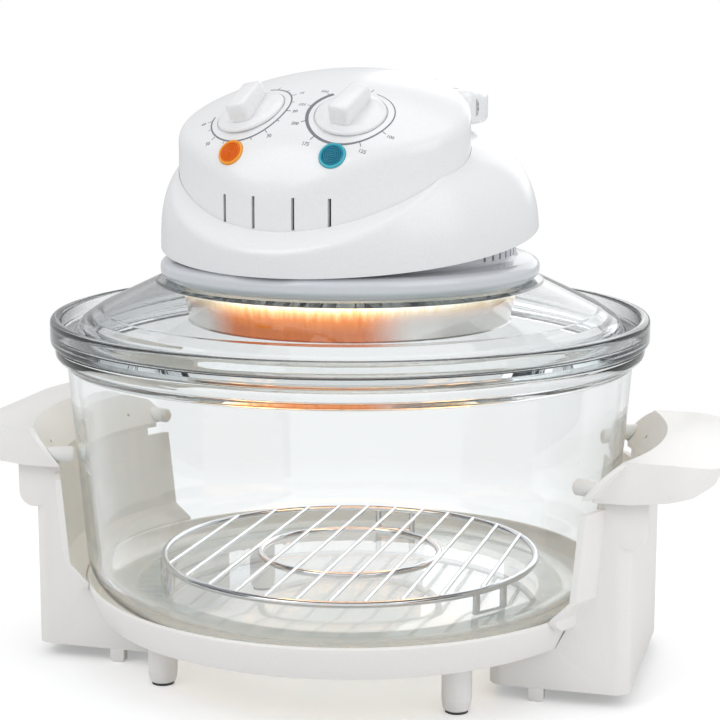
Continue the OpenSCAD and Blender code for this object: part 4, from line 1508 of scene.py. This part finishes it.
@dataclass
class Lenses:
    """Round lamp lenses: a plain rim around a ridged middle."""

    ridges: int = 5

    def build(self) -> None:
        """Turns both lenses and their rims."""
        for side, slot, node, coat, rim in (
            (-1, "orange_lens", "power_lens", ORANGE, ORANGE_RIM),
            (1, "teal_lens", "heat_lens", TEAL, TEAL_RIM),
        ):
            where = FORM.on_face(side * FORM.dial_x, FORM.lens_y)
            outline = [(0.0, -5.0, 0.0), (5.9, -5.0, 0.2), (5.9, 0.6, 0.3)]
            for k in range(self.ridges):
                far = 5.2 - k
                outline += [(far, 1.15, 0.1), (far - 0.35, 0.45, 0.1), (far - 0.65, 1.15, 0.1)]
            outline.append((0.0, 1.15, 0.0))
            ring = [(5.9, -5.0, 0.0), (7.35, -5.0, 0.2), (7.35, 0.4, 0.6)]
            ring += [(6.7, 1.1, 0.5), (5.9, 0.5, 0.2)]
            for part, points, look in (("ridged", outline, coat), ("rim", ring, rim)):
                piece = turned(f"{node}_{part}", rounded_profile(points, 3), 72)
                place_on_head(moved(piece, where))
                finish(piece, Body.LID, slot, [node] if points is outline else [], look)


@dataclass
class Scales:
    """Printed scales around the dials: a band, ticks and plain numbers."""

    radius: float = 23.4
    size: float = 2.9
    proud: float = 0.07
    ink: float = 0.25
    tick_r: float = 24.0
    first_minute: float = 71.0
    minute_step: float = 20.4
    first_heat: float = -20.0
    heat_step: float = 32.5

    def on_panel(self, centre: Point2, x: float, y: float) -> Point3:
        """Drops a point of the drawing on the panel's face, along the dial's axis.

        Args:
            centre: The dial's place on the head.
            x: Place across the dial.
            y: Place along the dial.

        Returns:
            The point, just proud of the face.
        """
        where = FORM.on_face(*centre)
        axis = where.to_3x3() @ Vector((0, 0, 1))
        spot = where @ Vector((x * MM, y * MM, 0)) / MM
        for _ in range(12):
            spot -= axis * (spot.z - FORM.face(spot.x, spot.y)) * axis.z
        spot += axis * self.proud
        return spot.x, spot.y, spot.z

    def band(
        self, centre: Point2, start: float, end: float, width: Callable[[float], float]
    ) -> Piece:
        """Lays an arc of ink.

        Args:
            centre: The dial's place on the head.
            start: Angle where it starts, in degrees.
            end: Angle where it ends, in degrees.
            width: Gives its width for a number from 0 to 1 along it.

        Returns:
            The flat arc.
        """

        def place(u: float, v: float) -> Point3:
            """Places a point of the band.

            Args:
                u: Part of the way along.
                v: Part of the way across.

            Returns:
                The point in mm.
            """
            angle = math.radians(start + (end - start) * u)
            radius = self.radius + (v - 0.5) * width(u)
            return self.on_panel(centre, radius * math.cos(angle), radius * math.sin(angle))

        return laid_grid("ink", max(int(abs(end - start)), 2), 2, place)

    def tick(self, centre: Point2, angle: float, far: float, width: float) -> Piece:
        """Lays a short radial line.

        Args:
            centre: The dial's place on the head.
            angle: Its direction in degrees.
            far: Distance from the dial's middle to its outer end.
            width: Its width.

        Returns:
            The flat line.
        """
        turn = math.radians(angle)
        side, fore = math.cos(turn), math.sin(turn)

        def place(u: float, v: float) -> Point3:
            """Places a point of the line.

            Args:
                u: Part of the way outwards.
                v: Part of the way across.

            Returns:
                The point in mm.
            """
            radius, off = self.tick_r + (far - self.tick_r) * u, (v - 0.5) * width
            return self.on_panel(centre, radius * side - off * fore, radius * fore + off * side)

        return laid_grid("ink", 4, 2, place)

    def number(self, centre: Point2, angle: float, far: float, text: str) -> Piece:
        """Sets a number outside the scale.

        Args:
            centre: The dial's place on the head.
            angle: Its direction in degrees.
            far: Distance from the dial's middle to the number's.
            text: Its digits.

        Returns:
            The flat number.
        """
        item = added("number", bpy.ops.object.text_add)
        item.data.body = text
        item.data.size = self.size
        item.data.align_x, item.data.align_y = "CENTER", "CENTER"
        item.data.resolution_u = 3
        only(item)
        bpy.ops.object.convert(target="MESH")
        item = bpy.context.object
        turn = math.radians(angle)
        for vertex in item.data.vertices:
            x, y = vertex.co.x + far * math.cos(turn), vertex.co.y + far * math.sin(turn)
            vertex.co = Vector(self.on_panel(centre, x, y)) * MM
        return item

    def build(self) -> None:
        """Prints both scales."""
        timer, heat = (-FORM.dial_x, FORM.dial_y), (FORM.dial_x, FORM.dial_y)
        ink = [self.band(timer, 83.0, -184.0, lambda u: 0.85)]
        ink.append(self.band(heat, 80.0, -220.0, lambda u: 0.5 + 1.9 * u**1.5))
        for i in range(13):
            angle, long = self.first_minute - self.minute_step * i, i % 2 == 0
            ink.append(self.tick(timer, angle, 26.4 if long else 25.4, 0.35))
            if long and i:
                ink.append(self.number(timer, angle, 29.2, str(5 * i)))
        for i, text in enumerate(("100", "125", "150", "175", "200", "225", "250")):
            angle = self.first_heat - self.heat_step * i
            ink.append(self.tick(heat, angle, 26.6, 0.4))
            ink.append(self.number(heat, angle, 29.8, text))
        ink.append(self.tick(heat, 90.0, 27.4, 0.4))
        piece = joined("dial_scales", *ink)
        apply_modifier(piece, "SOLIDIFY", thickness=self.ink * MM, offset=-1.0)
        place_on_head(piece)
        finish(piece, Body.LID, "unit_dark", [], INK)


@dataclass
class HandleBar:
    """Moulded carrying handle: a bow with two arms and softly rounded edges."""

    middle_y: float = 20.0
    height: float = 19.0
    edge: float = 5.0

    def section(self) -> list[Point2]:
        """Gives the bar's rounded section.

        Returns:
            Its points, across and up.
        """
        half, tall = (FORM.bow_out - FORM.bow_in) / 2, self.height / 2
        corners = ((-half, -tall), (half, -tall), (half, tall), (-half, tall))
        return rounded_profile([(x, y, self.edge) for x, y in corners], 8)

    def build(self) -> None:
        """Sweeps the bar, closes its arms with round ends and dresses it."""
        ring, path = self.section(), []
        radius = (FORM.bow_in + FORM.bow_out) / 2
        arm = self.middle_y - FORM.pivot[0]
        for k in range(5):
            path.append((radius, FORM.pivot[0] + arm * k / 5, 0.0))
        for k in range(97):
            turn = math.pi * k / 96
            path.append((radius * math.cos(turn), self.middle_y + radius * math.sin(turn), turn))
        for k in range(4, -1, -1):
            path.append((-radius, FORM.pivot[0] + arm * k / 5, math.pi))

        def place(u: float, v: float) -> Point3:
            """Places a point of the bar.

            Args:
                u: Part of the way along its path.
                v: Part of the way around its section.

            Returns:
                The point in mm.
            """
            x, y, turn = path[round(u * (len(path) - 1))]
            across, up = ring[round(v * len(ring)) % len(ring)]
            return x + across * math.cos(turn), y + across * math.sin(turn), FORM.pivot[1] + up

        bar = laid_grid("bar", len(path) - 1, len(ring), place)
        ends = []
        for side in (-1, 1):
            half, tall = (FORM.bow_out - FORM.bow_in) / 2, self.height / 2
            outline = [(0, -half, 0), (tall, -half, self.edge), (tall, half, self.edge)]
            outline.append((0, half, 0))
            where = Matrix.Translation(Vector((side * radius, *FORM.pivot)) * MM) @ spun("Y", 90)
            ends.append(moved(turned("end", rounded_profile(outline, 8), 64), where))
        piece = joined("carrying_handle_moulding", bar, *ends)
        shade(piece, 40)
        place_on_head(piece)
        finish(piece, Body.HANDLE, "white_shell", ["carrying_handle"], HEAD_ABS)


def dress_frame() -> None:
    """Gives every piece of the frame the finish of its slot."""
    slots = {row["node"]: row["material_slot"] for row in frame["record"]["subparts"]}
    for name, item in frame["nodes"].items():
        item.data.materials.clear()
        # The reflector takes the steel with the lamp's glow painted on.
        coat = PAINTED_GLOW_STEEL if name == "reflector" else SLOT_FINISH[slots[name]]
        item.data.materials.append(coat.build())
        shade(item)


def main() -> None:
    """Builds the scene in order."""
    logging.basicConfig(level=logging.INFO, format="%(name)s: %(message)s")
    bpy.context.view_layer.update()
    Studio().build()
    dress_frame()
    Stand().build()
    Bowl().build()
    Lid().build()
    for part in (BaseRing(), Housing(), Panel(), HandleBar(), Knobs(), Lenses(), Scales()):
        part.build()


if __name__ == "__main__":
    main()
